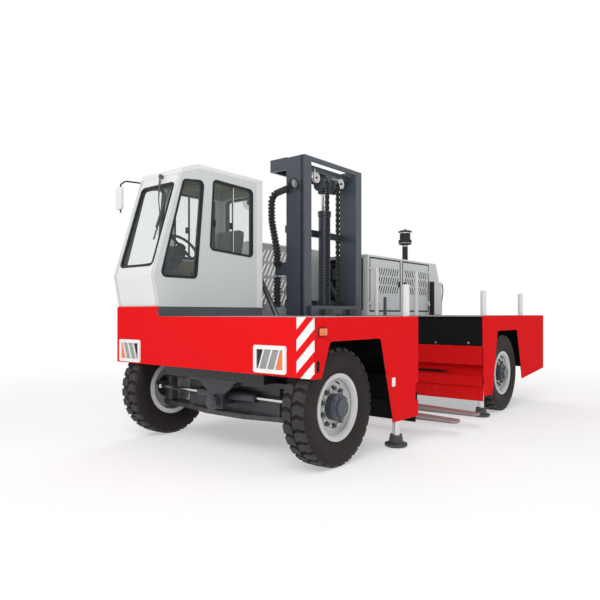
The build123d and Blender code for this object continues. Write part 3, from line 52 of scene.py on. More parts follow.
class Sock:
    """A shader socket that Python arithmetic combines; every step adds a node to its tree."""

    def __init__(self, tree, out=None):
        self.tree = tree
        self.out = out

    def add(self, kind, settings=None, inputs=None, pick=0):
        """Adds one node: its settings first, then the values or links of its sockets."""
        node = self.tree.nodes.new("ShaderNode" + kind)
        for key, value in (settings or {}).items():
            setattr(node, key, value)
        for key, value in (inputs or {}).items():
            if isinstance(value, Sock):
                self.tree.links.new(value.out, node.inputs[key])
            else:
                node.inputs[key].default_value = value
        return Sock(self.tree, node.outputs[pick] if node.outputs else None)

    def math(self, operation, *values):
        return self.add("Math", {"operation": operation}, dict(enumerate(values)))

    def __add__(self, other):
        return self.math("ADD", self, other)

    def __sub__(self, other):
        return self.math("SUBTRACT", self, other)

    def __rsub__(self, other):
        return self.math("SUBTRACT", other, self)

    def __mul__(self, other):
        return self.math("MULTIPLY", self, other)

    def __truediv__(self, other):
        return self.math("DIVIDE", self, other)

    __radd__ = __add__
    __rmul__ = __mul__

    def above(self, edge, soft=0.001):
        """1 where this value is above an edge, with a soft step."""
        limits = {"Value": self, "From Min": edge - soft, "From Max": edge + soft}
        return self.add("MapRange", {"interpolation_type": "SMOOTHSTEP"}, limits)

    def below(self, edge, soft=0.001):
        return 1 - self.above(edge, soft)

    def between(self, low, high, soft=0.001):
        return self.above(low, soft) * self.below(high, soft)

    def abs(self):
        return self.math("ABSOLUTE", self)

    def root(self):
        return self.math("SQRT", self)

    def fraction(self):
        return self.math("FRACT", self)

    def larger(self, other):
        return self.math("MAXIMUM", self, other)

    def sine(self):
        return self.math("SINE", self)

    def wave(self):
        """A sine that runs from 0 to 1."""
        return self.sine() * 0.5 + 0.5

    def normal_part(self, axis, kind="True Normal"):
        """One part of the direction that the surface faces."""
        return self.add("SeparateXYZ", None, {"Vector": self.add("NewGeometry", pick=kind)}, pick=axis)

    def blend(self, under, colour, mask):
        """One colour laid over another where the mask is 1."""
        return self.add("Mix", {"data_type": "RGBA"}, {"Factor": mask, 6: under, 7: colour}, pick=2)

    def over(self, colour, mask):
        return self.blend(self, colour, mask)

    def cloud(self, scale, detail=3.0, stretch=(1, 1, 1)):
        """Soft noise on this position, from 0 to 1."""
        spot = self.add("Mapping", None, {"Vector": self, "Scale": stretch})
        return self.add("TexNoise", None, {"Vector": spot, "Scale": scale, "Detail": detail})

    def bump(self, strength, depth):
        return self.add("Bump", None, {"Height": self, "Strength": strength, "Distance": depth})


def rgb(red, green, blue):
    return (red, green, blue, 1.0)


def toned(colour, factor, lift=0.0):
    """A lighter or darker tone of a colour."""
    return rgb(*(min(1.0, part * factor + lift) for part in colour[:3]))


# Colours, linear

RED = rgb(0.80, 0.012, 0.015)
# A darker copy of the body red for the well walls: painted shade inside the well.
SHADOWED_RED = rgb(0.66, 0.010, 0.011)
WHITE = rgb(0.86, 0.86, 0.84)
CAB = rgb(0.62, 0.64, 0.65)
PALE_CAB = rgb(0.76, 0.77, 0.765)
# Paler than the cab's outside: painted light on the inside walls, which lie in shade.
CAB_INSIDE_PAINTED_LIGHT = rgb(0.70, 0.74, 0.74)
SLATE = rgb(0.050, 0.062, 0.080)
AXLE_SLATE = rgb(0.040, 0.042, 0.051)
BLACK = rgb(0.012, 0.012, 0.013)
KHAKI = rgb(0.23, 0.19, 0.075)
RIM_GREY = rgb(0.60, 0.61, 0.60)
SEAM_GREY = rgb(0.30, 0.30, 0.30)
POST_WHITE = rgb(0.74, 0.75, 0.75)
IRON = rgb(0.09, 0.095, 0.10)
STEEL = rgb(0.56, 0.55, 0.53)
DUST = rgb(0.30, 0.27, 0.23)
WORN_EDGE = rgb(0.33, 0.32, 0.31)
OIL = rgb(0.06, 0.055, 0.05)
GREASE = rgb(0.035, 0.012, 0.01)
RUST = rgb(0.10, 0.06, 0.045)

# Layout shared with the solids

AXLE_Z = 0.525
FRONT_AXLE_X, REAR_AXLE_X = 2.43, -1.41
FRONT_TRACK, REAR_TRACK = 1.145, 1.185
WHEELS = {
    "front_left": Vector((FRONT_AXLE_X, FRONT_TRACK, AXLE_Z)),
    "front_right": Vector((FRONT_AXLE_X, -FRONT_TRACK, AXLE_Z)),
    "rear_left": Vector((REAR_AXLE_X, REAR_TRACK, AXLE_Z)),
    "rear_right": Vector((REAR_AXLE_X, -REAR_TRACK, AXLE_Z)),
}
AXLE_SPLIT = 0.5
LEFT, RIGHT = 1.367, -1.367
NOSE, TAIL = 2.934, -2.975
CAB_LEFT, CAB_MID, CAB_REAR = -0.652, -1.0095, 1.406
MAST_X, MAST_HALF, MAST_FRONT = 0.335, 0.6405, -0.312
CHAIN_Y, CHAIN_TOP, CHAIN_FOOT = -0.35, 3.06, 0.56
HOOD_LEFT, HOOD_TOP = -0.34, 2.205
MIRROR_BACK_X = 2.8095


# Finishes

def start(name):
    """A new material's tree, its object position and that position's three parts."""
    made = bpy.data.materials.new(name)
    made.use_nodes = True
    made.node_tree.nodes.clear()
    base = Sock(made.node_tree)
    spot = base.add("TexCoord", pick="Object")
    parts = [base.add("SeparateXYZ", None, {"Vector": spot}, pick=axis) for axis in "XYZ"]
    return made, base, spot, parts


def shade(base, colour, rough, normal=None, **extra):
    """Closes a material with one surface shader."""
    inputs = {"Base Color": colour, "Roughness": rough}
    if normal:
        inputs["Normal"] = normal
    inputs.update({key.replace("_", " "): value for key, value in extra.items()})
    surface = base.add("BsdfPrincipled", None, inputs)
    base.add("OutputMaterial", None, {"Surface": surface})


DUST_LINE, DUST_FADE = 0.55, 0.5
RUN_DOWN = (5.0, 5.0, 0.5)
ALONG_Z = (1, 1, 30)
SOFT_EDGE = 0.006


def painted(name, colour, rough=0.3, dust=0.12, coat=0.2, gloss=0.4, patches=(), lining=None):
    """Sprayed steel: slight tone drift, orange peel, dust low down and worn edges.

    patches lays more colours over the first, each with a mask made from the position's parts.
    lining is a colour for what faces down.
    """
    made, base, spot, (x, y, z) = start(name)
    drift = spot.cloud(1.3, 4.0)
    tone = drift * 0.10 + 0.95
    skin = base.blend(colour, toned(colour, 0.86), (drift - 0.3) * 0.5)
    for patch, mask in patches:
        skin = skin.over(patch, mask(x, y, z))
    if lining:
        skin = skin.over(lining, base.normal_part("Z").below(-0.5, 0.1))
    streaks = (spot.cloud(3.0, 5.0, RUN_DOWN) * z.below(DUST_LINE, DUST_FADE)).above(0.5, 0.25)
    specks = spot.cloud(9.0, 6.0).above(0.68, 0.1)
    film = (streaks * 0.7 + specks * 0.25) * dust
    skin = skin.over(DUST, film)
    soft_edge = base.add("Bevel", {"samples": 4}, {"Radius": SOFT_EDGE})
    flat = base.add("NewGeometry", pick="Normal")
    turn = base.add("VectorMath", {"operation": "DOT_PRODUCT"}, {0: soft_edge, 1: flat}, pick="Value")
    wear = turn.below(0.93, 0.05) * spot.cloud(14.0, 4.0).above(0.56, 0.08) * 0.5
    skin = skin.over(WORN_EDGE, wear)
    peel = {"Height": spot.cloud(420.0, 1.0), "Strength": 0.04, "Distance": 0.002, "Normal": soft_edge}
    shade(
        base, skin, tone * rough + film * 0.5, base.add("Bump", None, peel),
        Coat_Weight=coat, Coat_Roughness=0.15, Specular_IOR_Level=gloss,
    )
    return made


def bare_metal(name, colour, rough, stain=0.2):
    """Machined or plated steel with fine lines along its working direction."""
    made, base, spot, _ = start(name)
    lines = spot.cloud(40.0, 4.0, ALONG_Z)
    oil = spot.cloud(5.0, 4.0).above(0.55, 0.2) * stain
    skin = base.blend(colour, OIL, oil)
    shade(base, skin, lines * 0.14 + oil * 0.3 + rough, lines.bump(0.05, 0.001), Metallic=1.0)
    return made


def plated(name, plate, paint, end_mask, paint_rough, rust=0.0):
    """Plated steel with one painted end, which may be rusty."""
    made, base, spot, (x, y, z) = start(name)
    end = end_mask(x, y, z)
    lines = spot.cloud(40.0, 4.0, ALONG_Z)
    skin = base.blend(plate, paint, end)
    if rust:
        skin = skin.over(RUST, spot.cloud(22.0, 5.0).above(0.55, 0.1) * end * rust)
    shade(base, skin, lines * 0.1 + end * paint_rough + 0.1, lines.bump(0.04, 0.001), Metallic=1 - end)
    return made


def moulded(name, colour, rough=0.55, grain=260.0, depth=0.12):
    """Moulded plastic or rubber with a fine grain."""
    made, base, spot, _ = start(name)
    patch = spot.cloud(6.0, 4.0)
    skin = base.blend(colour, toned(colour, 1.5, 0.01), patch.above(0.5, 0.25) * 0.4)
    fine = spot.cloud(grain, 2.0)
    shade(base, skin, patch * 0.15 + rough, fine.bump(depth, 0.002), Specular_IOR_Level=0.25)
    return made


def lens(name, colour, pitch=0.012):
    """Ribbed lamp lens, the crests of its ribs painted lighter as painted highlight."""
    made, base, spot, (x, y, z) = start(name)
    ribs = (y * (2 * pi / pitch)).wave()
    rows = (z * (2 * pi / (pitch * 1.7))).wave()
    skin = base.blend(colour, toned(colour, 1.6, 0.05), ribs * rows * 0.8)
    shade(base, skin, rows * 0.1 + 0.06, (ribs + rows).bump(0.5, 0.002), Coat_Weight=0.8)
    return made


# Where one node carries more than one colour

HUB_EDGE = 0.118
LOCK_RING_EDGES = ((0.2135, 0.2175), (0.2395, 0.2435))
STRIPES_Y, STRIPES_Z, STRIPE_PITCH, STRIPE_SHARE = 1.189, 1.038, 0.178, 0.54
WALL_PANEL_FOOT, FRONT_WALL_X = 0.93, 0.9
GREASE_BAND = (0.556, 0.60)
FRAME_OUTER_Y = -1.05
LEG_FOOT_TOP = 0.123
CROSSHEAD_FOOT = 2.948
CAB_SKIN, CAB_FLOOR = 0.042, 1.42
DOOR_TRIM_TOP, HEAD_TRIM_FOOT = 1.985, 2.80
STOP_POST_X, STOP_POST_Y = (-0.60, -0.50), (-0.12, -0.03)
PANEL_SKIN = 0.004
FRONT_ARCH_X, REAR_ARCH_X = (1.30, NOSE - 0.02), (-2.970, -0.62)
BOX_FRONT_X = -2.4485
MIRROR_BACK_Z = (2.5155, 2.7645)
MAST_GAP_SHADE_Y = (MAST_FRONT - 0.066, MAST_FRONT - 0.030)
REAR_POST_WIDTH = 0.070
GRILLE_X, GRILLE_Y = (-0.60, -0.5205), (RIGHT + 0.0885, HOOD_LEFT - 0.0885)
GRILLE_Z = (1.3885, 2.1565)
GRILLE_EDGE = 0.0008


def wheel_reach(x, z):
    """How far a point is from the axis of whichever wheel it is on."""
    across = x - (x.above(AXLE_SPLIT) * (FRONT_AXLE_X - REAR_AXLE_X) + REAR_AXLE_X)
    up = z - AXLE_Z
    return (across * across + up * up).root()


def hub_mask(x, y, z):
    return wheel_reach(x, z).below(HUB_EDGE, 0.002)


def rim_seam_mask(x, y, z):
    """The two edges of the lock ring, inside the rim's flange."""
    reach = wheel_reach(x, z)
    inner, outer = (reach.between(*edge, 0.0012) for edge in LOCK_RING_EDGES)
    return inner + outer


def stripe_mask(x, y, z):
    """Diagonal warning bands on the loading side of the front plate."""
    band = ((z - y - (STRIPES_Z - STRIPES_Y)) / STRIPE_PITCH + 20.0).fraction()
    return band.below(STRIPE_SHARE, 0.01) * y.above(STRIPES_Y, 0.0015)


def wall_panel_mask(x, y, z):
    return z.above(WALL_PANEL_FOOT, 0.002)


def wall_back_shade_mask(x, y, z):
    """The side of the front well wall that faces the wheel, black as painted shade, and its ledges that face up
    or down, darkened with it.
    """
    return x.above(FRONT_WALL_X) * x.normal_part("X").above(-0.2, 0.05)


def grease_mask(x, y, z):
    return z.between(*GREASE_BAND, 0.012) * (y * 3.1 + z * 0.4).wave().above(0.62, 0.2)


def outer_face_mask(x, y, z):
    return y.below(FRAME_OUTER_Y, 0.002)


def leg_foot_mask(x, y, z):
    return z.below(LEG_FOOT_TOP)


def crosshead_mask(x, y, z):
    return z.above(CROSSHEAD_FOOT, 0.002)


def cab_inside(x, y, z):
    return y.between(RIGHT + CAB_SKIN, CAB_LEFT - CAB_SKIN, 0.002) * z.above(CAB_FLOOR)


def cab_trim_mask(x, y, z):
    """Khaki trim below the windows and above them."""
    return cab_inside(x, y, z) * (z.below(DOOR_TRIM_TOP, 0.004) + z.above(HEAD_TRIM_FOOT, 0.004))


def stop_post_mask(x, y, z):
    return y.between(*STOP_POST_Y) * x.between(*STOP_POST_X)


def arch_shade_mask(x, y, z):
    """Black on the inner faces behind the wheels: painted shade inside the wheel arches."""
    return y.abs().below(LEFT - PANEL_SKIN) * (x.between(*FRONT_ARCH_X) + x.between(*REAR_ARCH_X))


def box_front_mask(x, y, z):
    return x.above(BOX_FRONT_X, 0.0008)


def mirror_back_mask(x, y, z):
    return z.between(*MIRROR_BACK_Z, 0.0005) * x.above(MIRROR_BACK_X, 0.0005)


def mast_gap_shade_mask(x, y, z):
    """A black band behind the front edge of each upright: painted shade in the gap between its flanges."""
    return (x - MAST_X).abs().above(MAST_HALF - 0.004) * y.between(*MAST_GAP_SHADE_Y)


# A paler strip down the cab's rear post: painted highlight where that edge catches the light.
def rear_post_highlight_mask(x, y, z):
    return x.below(CAB_REAR + REAR_POST_WIDTH) * y.above(CAB_LEFT - 0.01)


def grille_mask(x, y, z):
    inside = y.between(*GRILLE_Y, GRILLE_EDGE) * z.between(*GRILLE_Z, GRILLE_EDGE)
    return inside * x.between(*GRILLE_X, 0.0005)


SOLID_RED = {"coat": 0.03, "gloss": 0.0}
# The last of these paints the front well wall's side towards the wheel black, as painted shade.
WALL_PATCHES = [(BLACK, wall_panel_mask), (GREASE, grease_mask), (BLACK, wall_back_shade_mask)]
# The inside walls take a paler grey as painted light against the shade in the cab; the khaki trim is their own
# colour.
CAB_TRIM_AND_PAINTED_LIGHT = [(CAB_INSIDE_PAINTED_LIGHT, cab_inside), (KHAKI, cab_trim_mask)]

# The red skirts and panels carry black on their inner faces behind the wheels as painted shade.
paint_red = painted("gloss_red", RED, dust=0.05, patches=[(BLACK, arch_shade_mask)], **SOLID_RED)
paint_front = painted("gloss_red_striped", RED, dust=0.04, patches=[(WHITE, stripe_mask)], **SOLID_RED)
# The well walls take the darker red as painted shade.
paint_wall = painted("wall_red", SHADOWED_RED, dust=0.05, patches=WALL_PATCHES, **SOLID_RED)
paint_frame = painted("frame_black", BLACK, rough=0.45, patches=[(RED, outer_face_mask)])
paint_slate = painted("slate_grey", SLATE, rough=0.36, dust=0.18)
# The uprights carry a black band as painted shade in the gap behind their front edges.
paint_mast = painted("mast_slate", SLATE, rough=0.36, dust=0.1, patches=[(BLACK, mast_gap_shade_mask)])
paint_axle = painted("axle_dark_slate", AXLE_SLATE, rough=0.42, dust=0.35)
paint_cab = painted("cab_light_grey", CAB, dust=0.05)
# The cab's left side takes a paler strip on its rear post as painted highlight.
paint_cab_side = painted("cab_side_grey", CAB, dust=0.05, patches=CAB_TRIM_AND_PAINTED_LIGHT + [(PALE_CAB, rear_post_highlight_mask)])
paint_cab_trim_painted_light = painted("cab_grey_trim_and_painted_light", CAB, dust=0.05, patches=CAB_TRIM_AND_PAINTED_LIGHT)
paint_hood = painted("hood_light_grey", CAB, dust=0.05, patches=[(BLACK, grille_mask)])
paint_roof = painted("roof_pale_grey", PALE_CAB, dust=0.04, lining=KHAKI)
paint_mirror = painted("mirror_black_and_grey", BLACK, rough=0.4, patches=[(PALE_CAB, mirror_back_mask)])
paint_front_cab = painted("cab_front_pale", PALE_CAB, dust=0.04)
paint_rim = painted("rim_light_grey", RIM_GREY, dust=0.3, patches=[(SLATE, hub_mask), (SEAM_GREY, rim_seam_mask)])
paint_post = painted("post_white", POST_WHITE, dust=0.06, patches=[(SLATE, stop_post_mask)])
paint_box = painted("box_grey", CAB, patches=[(BLACK, box_front_mask)])
paint_engine = painted("engine_iron", IRON, rough=0.5, dust=0.3)

rubber = moulded("seal_rubber", rgb(0.012, 0.013, 0.014), rough=0.45)
tyre_rubber = moulded("tyre_rubber", rgb(0.014, 0.0105, 0.0093), rough=0.62, grain=120.0, depth=0.25)
tread_rubber = moulded("tread_rubber", rgb(0.034, 0.032, 0.031), rough=0.55, grain=90.0, depth=0.25)
black_plastic = moulded("black_plastic", rgb(0.016, 0.016, 0.018), rough=0.5)
ribbed_black = moulded("ribbed_black", rgb(0.030, 0.030, 0.032), rough=0.42)
wiper_grey = moulded("wiper_grey", rgb(0.075, 0.078, 0.082), rough=0.45)
# Near-black floors of holes and slots: painted shade in their depth.
hole_painted_shade = moulded("hole_painted_shade", rgb(0.006, 0.006, 0.006), rough=0.8)
white_bezel = moulded("white_bezel", rgb(0.80, 0.79, 0.77), rough=0.32, grain=300.0, depth=0.03)

chrome = bare_metal("hard_chrome", rgb(0.66, 0.66, 0.67), 0.10, stain=0.08)
bright_steel = bare_metal("bright_steel", STEEL, 0.28)
chain_steel = bare_metal("oiled_chain", rgb(0.035, 0.035, 0.036), 0.36, stain=0.3)
nut_steel = bare_metal("nut_steel", rgb(0.20, 0.195, 0.19), 0.40, stain=0.4)
mirror_silver = bare_metal("mirror_glass", rgb(0.82, 0.84, 0.85), 0.03, stain=0.0)
leg_paint = plated(
    "stabiliser_leg", rgb(0.70, 0.70, 0.71), rgb(0.045, 0.048, 0.052), leg_foot_mask, paint_rough=0.35, rust=0.5
)
lift_rod_paint = plated("lift_rod_finish", rgb(0.60, 0.60, 0.61), SLATE, crosshead_mask, paint_rough=0.3)

amber = lens("amber_lens", rgb(0.80, 0.16, 0.01))
clear_lens = lens("clear_lens", rgb(0.24, 0.25, 0.26))
white_lens = lens("white_lens", rgb(0.80, 0.81, 0.80), pitch=0.02)
red_lens = lens("red_lens", rgb(0.55, 0.012, 0.010))


def fork_finish():
    """Black forks rubbed to bare steel along the blades."""
    made, base, spot, (x, y, z) = start("fork_finish")
    rubs = spot.cloud(3.0, 5.0, (6.0, 0.7, 6.0))
    top = z.above(0.165, 0.03) * z.below(0.23, 0.01) * y.above(-0.15, 0.1)
    bare = top * rubs.above(0.30, 0.14) * 0.9
    skin = base.blend(rgb(0.025, 0.025, 0.027), rgb(0.42, 0.41, 0.40), bare)
    shade(base, skin, 0.5 - bare * 0.15, rubs.bump(0.12, 0.003), Metallic=bare * 0.6)
    return made


LOZENGE_PITCH = 0.06


def deck_finish():
    """Grey deck plate with raised lozenges, rubbed on their tops."""
    made, base, spot, (x, y, z) = start("deck_finish")
    ridges = []
    for lean, shift in ((1, 100.5), (-1, 100.0)):
        cell = ((x + y * lean) / LOZENGE_PITCH + shift).fraction() - 0.5
        row = ((x - y * lean) / LOZENGE_PITCH + 100.0).fraction() - 0.5
        ridges.append(cell.abs().below(0.36, 0.06) * row.abs().below(0.09, 0.05))
    lift = ridges[0].larger(ridges[1])
    up = base.normal_part("Z", "Normal").above(0.5)
    worn = lift * spot.cloud(2.5, 5.0).above(0.42, 0.15)
    skin = base.blend(rgb(0.30, 0.31, 0.315), rgb(0.5, 0.5, 0.49), worn)
    skin = skin.over(rgb(0.2, 0.19, 0.17), spot.cloud(1.8, 6.0).above(0.55, 0.15) * 0.5)
    shade(base, skin, 0.55 - worn * 0.15, (lift * up).bump(0.6, 0.003), Metallic=0.0)
    return made


def window_glass():
    """Thin tinted safety glass with a faint film of dust."""
    made, base, spot, _ = start("window_glass")
    film = spot.cloud(2.0, 5.0, (1, 1, 0.4)).above(0.5, 0.3) * 0.06
    skin = base.blend(rgb(0.30, 0.41, 0.41), rgb(0.6, 0.62, 0.6), film * 4.0)
    shade(base, skin, 0.03 + film, Alpha=film + 0.06, Specular_IOR_Level=0.2)
    made.surface_render_method = "BLENDED"
    return made


THREADS = 1500.0


def seat_cloth():
    """Dark woven upholstery."""
    made, base, spot, (x, y, z) = start("seat_cloth")
    warp = ((y + z * 0.3) * THREADS).sine()
    weft = ((x + z) * THREADS).sine()
    weave = warp * weft * 0.5 + 0.5
    skin = base.blend(rgb(0.030, 0.031, 0.034), rgb(0.085, 0.087, 0.092), weave * 0.7)
    shade(base, skin, weave * 0.1 + 0.82, weave.bump(0.4, 0.001), Sheen_Weight=0.4)
    return made


def painted_slot_light():
    """Pale slot floors that glow: painted light standing for the light that shows through the slots."""
    made, base, spot, _ = start("slot_painted_light")
    haze = spot.cloud(4.0, 3.0)
    skin = base.blend(rgb(0.70, 0.71, 0.71), rgb(0.85, 0.86, 0.86), haze)
    shade(base, skin, haze * 0.2 + 0.5, Emission_Color=skin, Emission_Strength=0.45)
    return made


fork_paint = fork_finish()
deck_paint = deck_finish()
glass = window_glass()
cloth = seat_cloth()
slot_painted_light = painted_slot_light()

NODE_FINISH = {
    paint_red: ["front_skirts", "rear_panels"],
    paint_front: ["front_plate"],
    paint_wall: ["well_walls"],
    deck_paint: ["deck_plates"],
    paint_frame: ["main_frame"],
    paint_slate: [
        "mast_trolley", "inner_mast", "fork_carriage", "cab_plinth",
        "lift_barrel", "tilt_barrels", "stabiliser_barrels",
    ],
    fork_paint: ["forks"],
    chrome: ["steering_rod", "tilt_rods"],
    leg_paint: ["stabiliser_leg_front", "stabiliser_leg_rear"],
    lift_rod_paint: ["lift_rod"],
    chain_steel: ["lift_chains"],
    tyre_rubber: ["tyre_" + corner for corner in WHEELS],
    paint_rim: ["rim_" + corner for corner in WHEELS],
    paint_hood: ["hood_shell"],
    paint_cab: ["hood_door_front", "hood_door_rear", "side_cover"],
    paint_axle: ["axle_brackets", "front_axle", "rear_axle", "knuckle_left", "knuckle_right"],
    paint_mast: ["outer_mast"],
    paint_mirror: ["mirror_arm"],
    paint_cab_side: ["cab_left"],
    paint_cab_trim_painted_light: ["cab_right", "cab_rear", "cab_door"],
    paint_front_cab: ["cab_front"],
    paint_roof: ["cab_roof"],
    paint_box: ["side_box"],
    glass: ["cab_glass", "door_glass"],
    rubber: ["window_seals", "door_seal"],
    cloth: ["seat"],
    black_plastic: ["cab_consoles", "steering_column", "air_cleaner", "hose_guide", "work_lamps"],
    white_bezel: ["head_lamps"],
    paint_post: ["deck_posts"],
    paint_engine: ["engine"],
}
for finish, names in NODE_FINISH.items():
    for node_name in names:
        for material_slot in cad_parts[node_name].material_slots:
            material_slot.material = finish


# Mesh helpers

WELD = 0.00001


def piece(name, bm, body, materials, sharp=35.0):
    """Turns a finished bmesh into a piece that rides on a body."""
    mesh = bpy.data.meshes.new(name)
    bmesh.ops.recalc_face_normals(bm, faces=bm.faces)
    bm.to_mesh(mesh)
    bm.free()
    for made in materials:
        mesh.materials.append(made)
    mesh.shade_smooth()
    mesh.set_sharp_from_angle(angle=radians(sharp))
    obj = bpy.data.objects.new(name, mesh)
    scene.collection.objects.link(obj)
    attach(obj, body)
    return obj


def verts_of(geom):
    return [part for part in geom if isinstance(part, bmesh.types.BMVert)]


def bevel(bm, edges, width, segments=2):
    bmesh.ops.bevel(
        bm, geom=list(edges), offset=width, segments=segments, profile=0.5, affect="EDGES", material=-1,
        clamp_overlap=True,
    )


def tint(verts, index):
    for face in {face for vert in verts for face in vert.link_faces}:
        face.material_index = index


def tint_from(bm, first, index):
    """Gives every face from a number on one finish."""
    bm.faces.ensure_lookup_table()
    for face in bm.faces[first:]:
        face.material_index = index


def slab(bm, size, place, edge=0.0, finish=0, turn=None):
    """A block of a size at a place, its edges rounded."""
    spot = Matrix.Translation(place) @ (turn or Matrix()) @ Matrix.Diagonal((*size, 1.0))
    verts = bmesh.ops.create_cube(bm, size=1.0, matrix=spot)["verts"]
    tint(verts, finish)
    if edge:
        bevel(bm, {e for v in verts for e in v.link_edges}, edge)


def facing(direction):
    """A turn that carries +Z to a direction."""
    return Vector(direction).to_track_quat("Z", "Y").to_matrix().to_4x4()


def rod(bm, start_at, end_at, radius, sides=20, edge=0.0, finish=0):
    """A round or many-sided bar between two points, its rims rounded."""
    a, b = Vector(start_at), Vector(end_at)
    spot = Matrix.Translation((a + b) / 2) @ facing(b - a)
    verts = bmesh.ops.create_cone(
        bm, cap_ends=True, segments=sides, radius1=radius, radius2=radius, depth=(b - a).length, matrix=spot
    )["verts"]
    tint(verts, finish)
    if edge:
        caps = {f for v in verts for f in v.link_faces if len(f.verts) == sides}
        bevel(bm, {e for f in caps for e in f.edges}, edge)


def turned(bm, profile, centre, axis, sides=48, finish=0):
    """A shape turned about an axis from (distance along it, radius) pairs."""
    spot = Matrix.Translation(centre) @ facing(axis)
    verts = [bm.verts.new(spot @ Vector((radius, 0.0, along))) for along, radius in profile]
    edges = [bm.edges.new(pair) for pair in zip(verts, verts[1:])]
    before = len(bm.faces)
    bmesh.ops.spin(
        bm, geom=verts + edges, cent=centre, axis=Vector(axis).normalized(), angle=2 * pi, steps=sides,
        use_merge=True,
    )
    tint_from(bm, before, finish)
    bmesh.ops.remove_doubles(bm, verts=bm.verts, dist=WELD)


def route(corners, bend, step):
    """Places and directions along a line whose corners are rounded off, about a step apart."""
    points = [Vector(corner) for corner in corners]
    line = [points[0]]
    for before, corner, after in zip(points, points[1:], points[2:]):
        cut = min(bend, (corner - before).length * 0.48, (after - corner).length * 0.48)
        a = corner + (before - corner).normalized() * cut
        b = corner + (after - corner).normalized() * cut
        line += [a.lerp(corner, t / 8).lerp(corner.lerp(b, t / 8), t / 8) for t in range(9)]
    line.append(points[-1])
    total = sum((b - a).length for a, b in zip(line, line[1:]))
    count = max(1, round(total / step))
    stops, run, goal = [], 0.0, 0.0
    for a, b in zip(line, line[1:]):
        length = (b - a).length
        while length > 0 and goal <= run + length + 1e-7 and len(stops) <= count:
            stops.append((a.lerp(b, (goal - run) / length), (b - a).normalized()))
            goal += total / count
        run += length
    return stops


def tube(bm, corners, radius, bend=0.04, step=0.02, sides=12, finish=0):
    """A round bar bent along a route, closed at both ends."""
    stops = route(corners, bend, step)
    before = len(bm.faces)
    last = None
    for index, (place, way) in enumerate(stops):
        spot = Matrix.Translation(place) @ facing(way)
        ends = index in (0, len(stops) - 1)
        ring = bmesh.ops.create_circle(bm, cap_ends=ends, segments=sides, radius=radius, matrix=spot)["verts"]
        edges = list({e for v in ring for e in v.link_edges if e.other_vert(v) in ring})
        if last:
            bmesh.ops.bridge_loops(bm, edges=last + edges)
        last = edges
    tint_from(bm, before, finish)


def join(bm, part):
    """Adds one mesh under work to another."""
    spare = bpy.data.meshes.new("spare")
    part.to_mesh(spare)
    part.free()
    bm.from_mesh(spare)
    bpy.data.meshes.remove(spare)


def knob(bm, centre, axis, radius, finish=0):
    """A turned ball."""
    arc = [(-radius * cos(pi * k / 8), radius * sin(pi * k / 8)) for k in range(9)]
    turned(bm, arc, centre, axis, 14, finish)


def bolt(bm, place, direction, size=0.012, finish=0):
    """A hexagon head on a washer."""
    a, way = Vector(place), Vector(direction).normalized()
    rod(bm, a, a + way * size * 0.25, size * 1.35, 16, 0.0, finish)
    rod(bm, a + way * size * 0.25, a + way * size * 1.0, size, 6, size * 0.12, finish)


# Tyres: a turned carcass with two rows of zigzag tread blocks

BLOCKS_ROUND = 29
CARCASS_STEPS = 4 * BLOCKS_ROUND
CARCASS = [
    (0.0, 0.2645), (0.0915, 0.2645), (0.0915, 0.302), (0.106, 0.330), (0.118, 0.362), (0.1255, 0.395),
    (0.1278, 0.422), (0.1262, 0.448), (0.121, 0.474), (0.112, 0.496), (0.100, 0.501), (0.05, 0.504), (0.0, 0.505),
]
TREAD_BLOCK = [
    (0.006, -0.030), (0.055, -0.053), (0.106, -0.038), (0.106, 0.044), (0.055, 0.029), (0.006, 0.052),
]
TREAD_BASE, TREAD_HEIGHT, TREAD_RADIUS, TREAD_FALL = 0.500, 0.0245, 0.52, 0.03
BLOCK_MID, BLOCK_TAPER = 0.055, (0.93, 0.96, 1.0)
SHOULDER_Y, LOBE_OUT, LOBE_DROP = 0.098, 0.0175, 0.052


def tread_row(bm, hand):
    """One row of blocks round the tyre, each with a lobe down its shoulder."""
    shift = 0.0 if hand == 1 else pi / BLOCKS_ROUND
    foot = [bm.verts.new((t, hand * a, 0.0)) for a, t in TREAD_BLOCK]
    face = bm.faces.new(foot)
    top = verts_of(bmesh.ops.extrude_face_region(bm, geom=[face], use_keep_orig=True)["geom"])
    bmesh.ops.translate(bm, verts=top, vec=(0, 0, TREAD_HEIGHT))
    bmesh.ops.scale(bm, verts=top, vec=BLOCK_TAPER, space=Matrix.Translation((0, -hand * BLOCK_MID, 0)))
    shoulder = [f for v in top for f in v.link_faces if all(abs(w.co.y) > SHOULDER_Y for w in f.verts)][:1]
    lobe = verts_of(bmesh.ops.extrude_face_region(bm, geom=shoulder)["geom"])
    bmesh.ops.translate(bm, verts=lobe, vec=(0, hand * LOBE_OUT, -LOBE_DROP))
    bmesh.ops.delete(bm, geom=shoulder, context="FACES")
    verts = foot + top + lobe
    tint(verts, 1)
    for vert in verts:
        turn = vert.co.x / TREAD_RADIUS + shift
        radius = TREAD_BASE + vert.co.z - abs(vert.co.y) * TREAD_FALL
        vert.co = (radius * sin(turn), vert.co.y, radius * cos(turn))
    faces = list({f for v in verts for f in v.link_faces})
    for step in range(1, BLOCKS_ROUND):
        copy = verts_of(bmesh.ops.duplicate(bm, geom=verts + faces)["geom"])
        turn = Matrix.Rotation(2 * pi * step / BLOCKS_ROUND, 3, "Y")
        bmesh.ops.rotate(bm, verts=copy, cent=(0, 0, 0), matrix=turn)


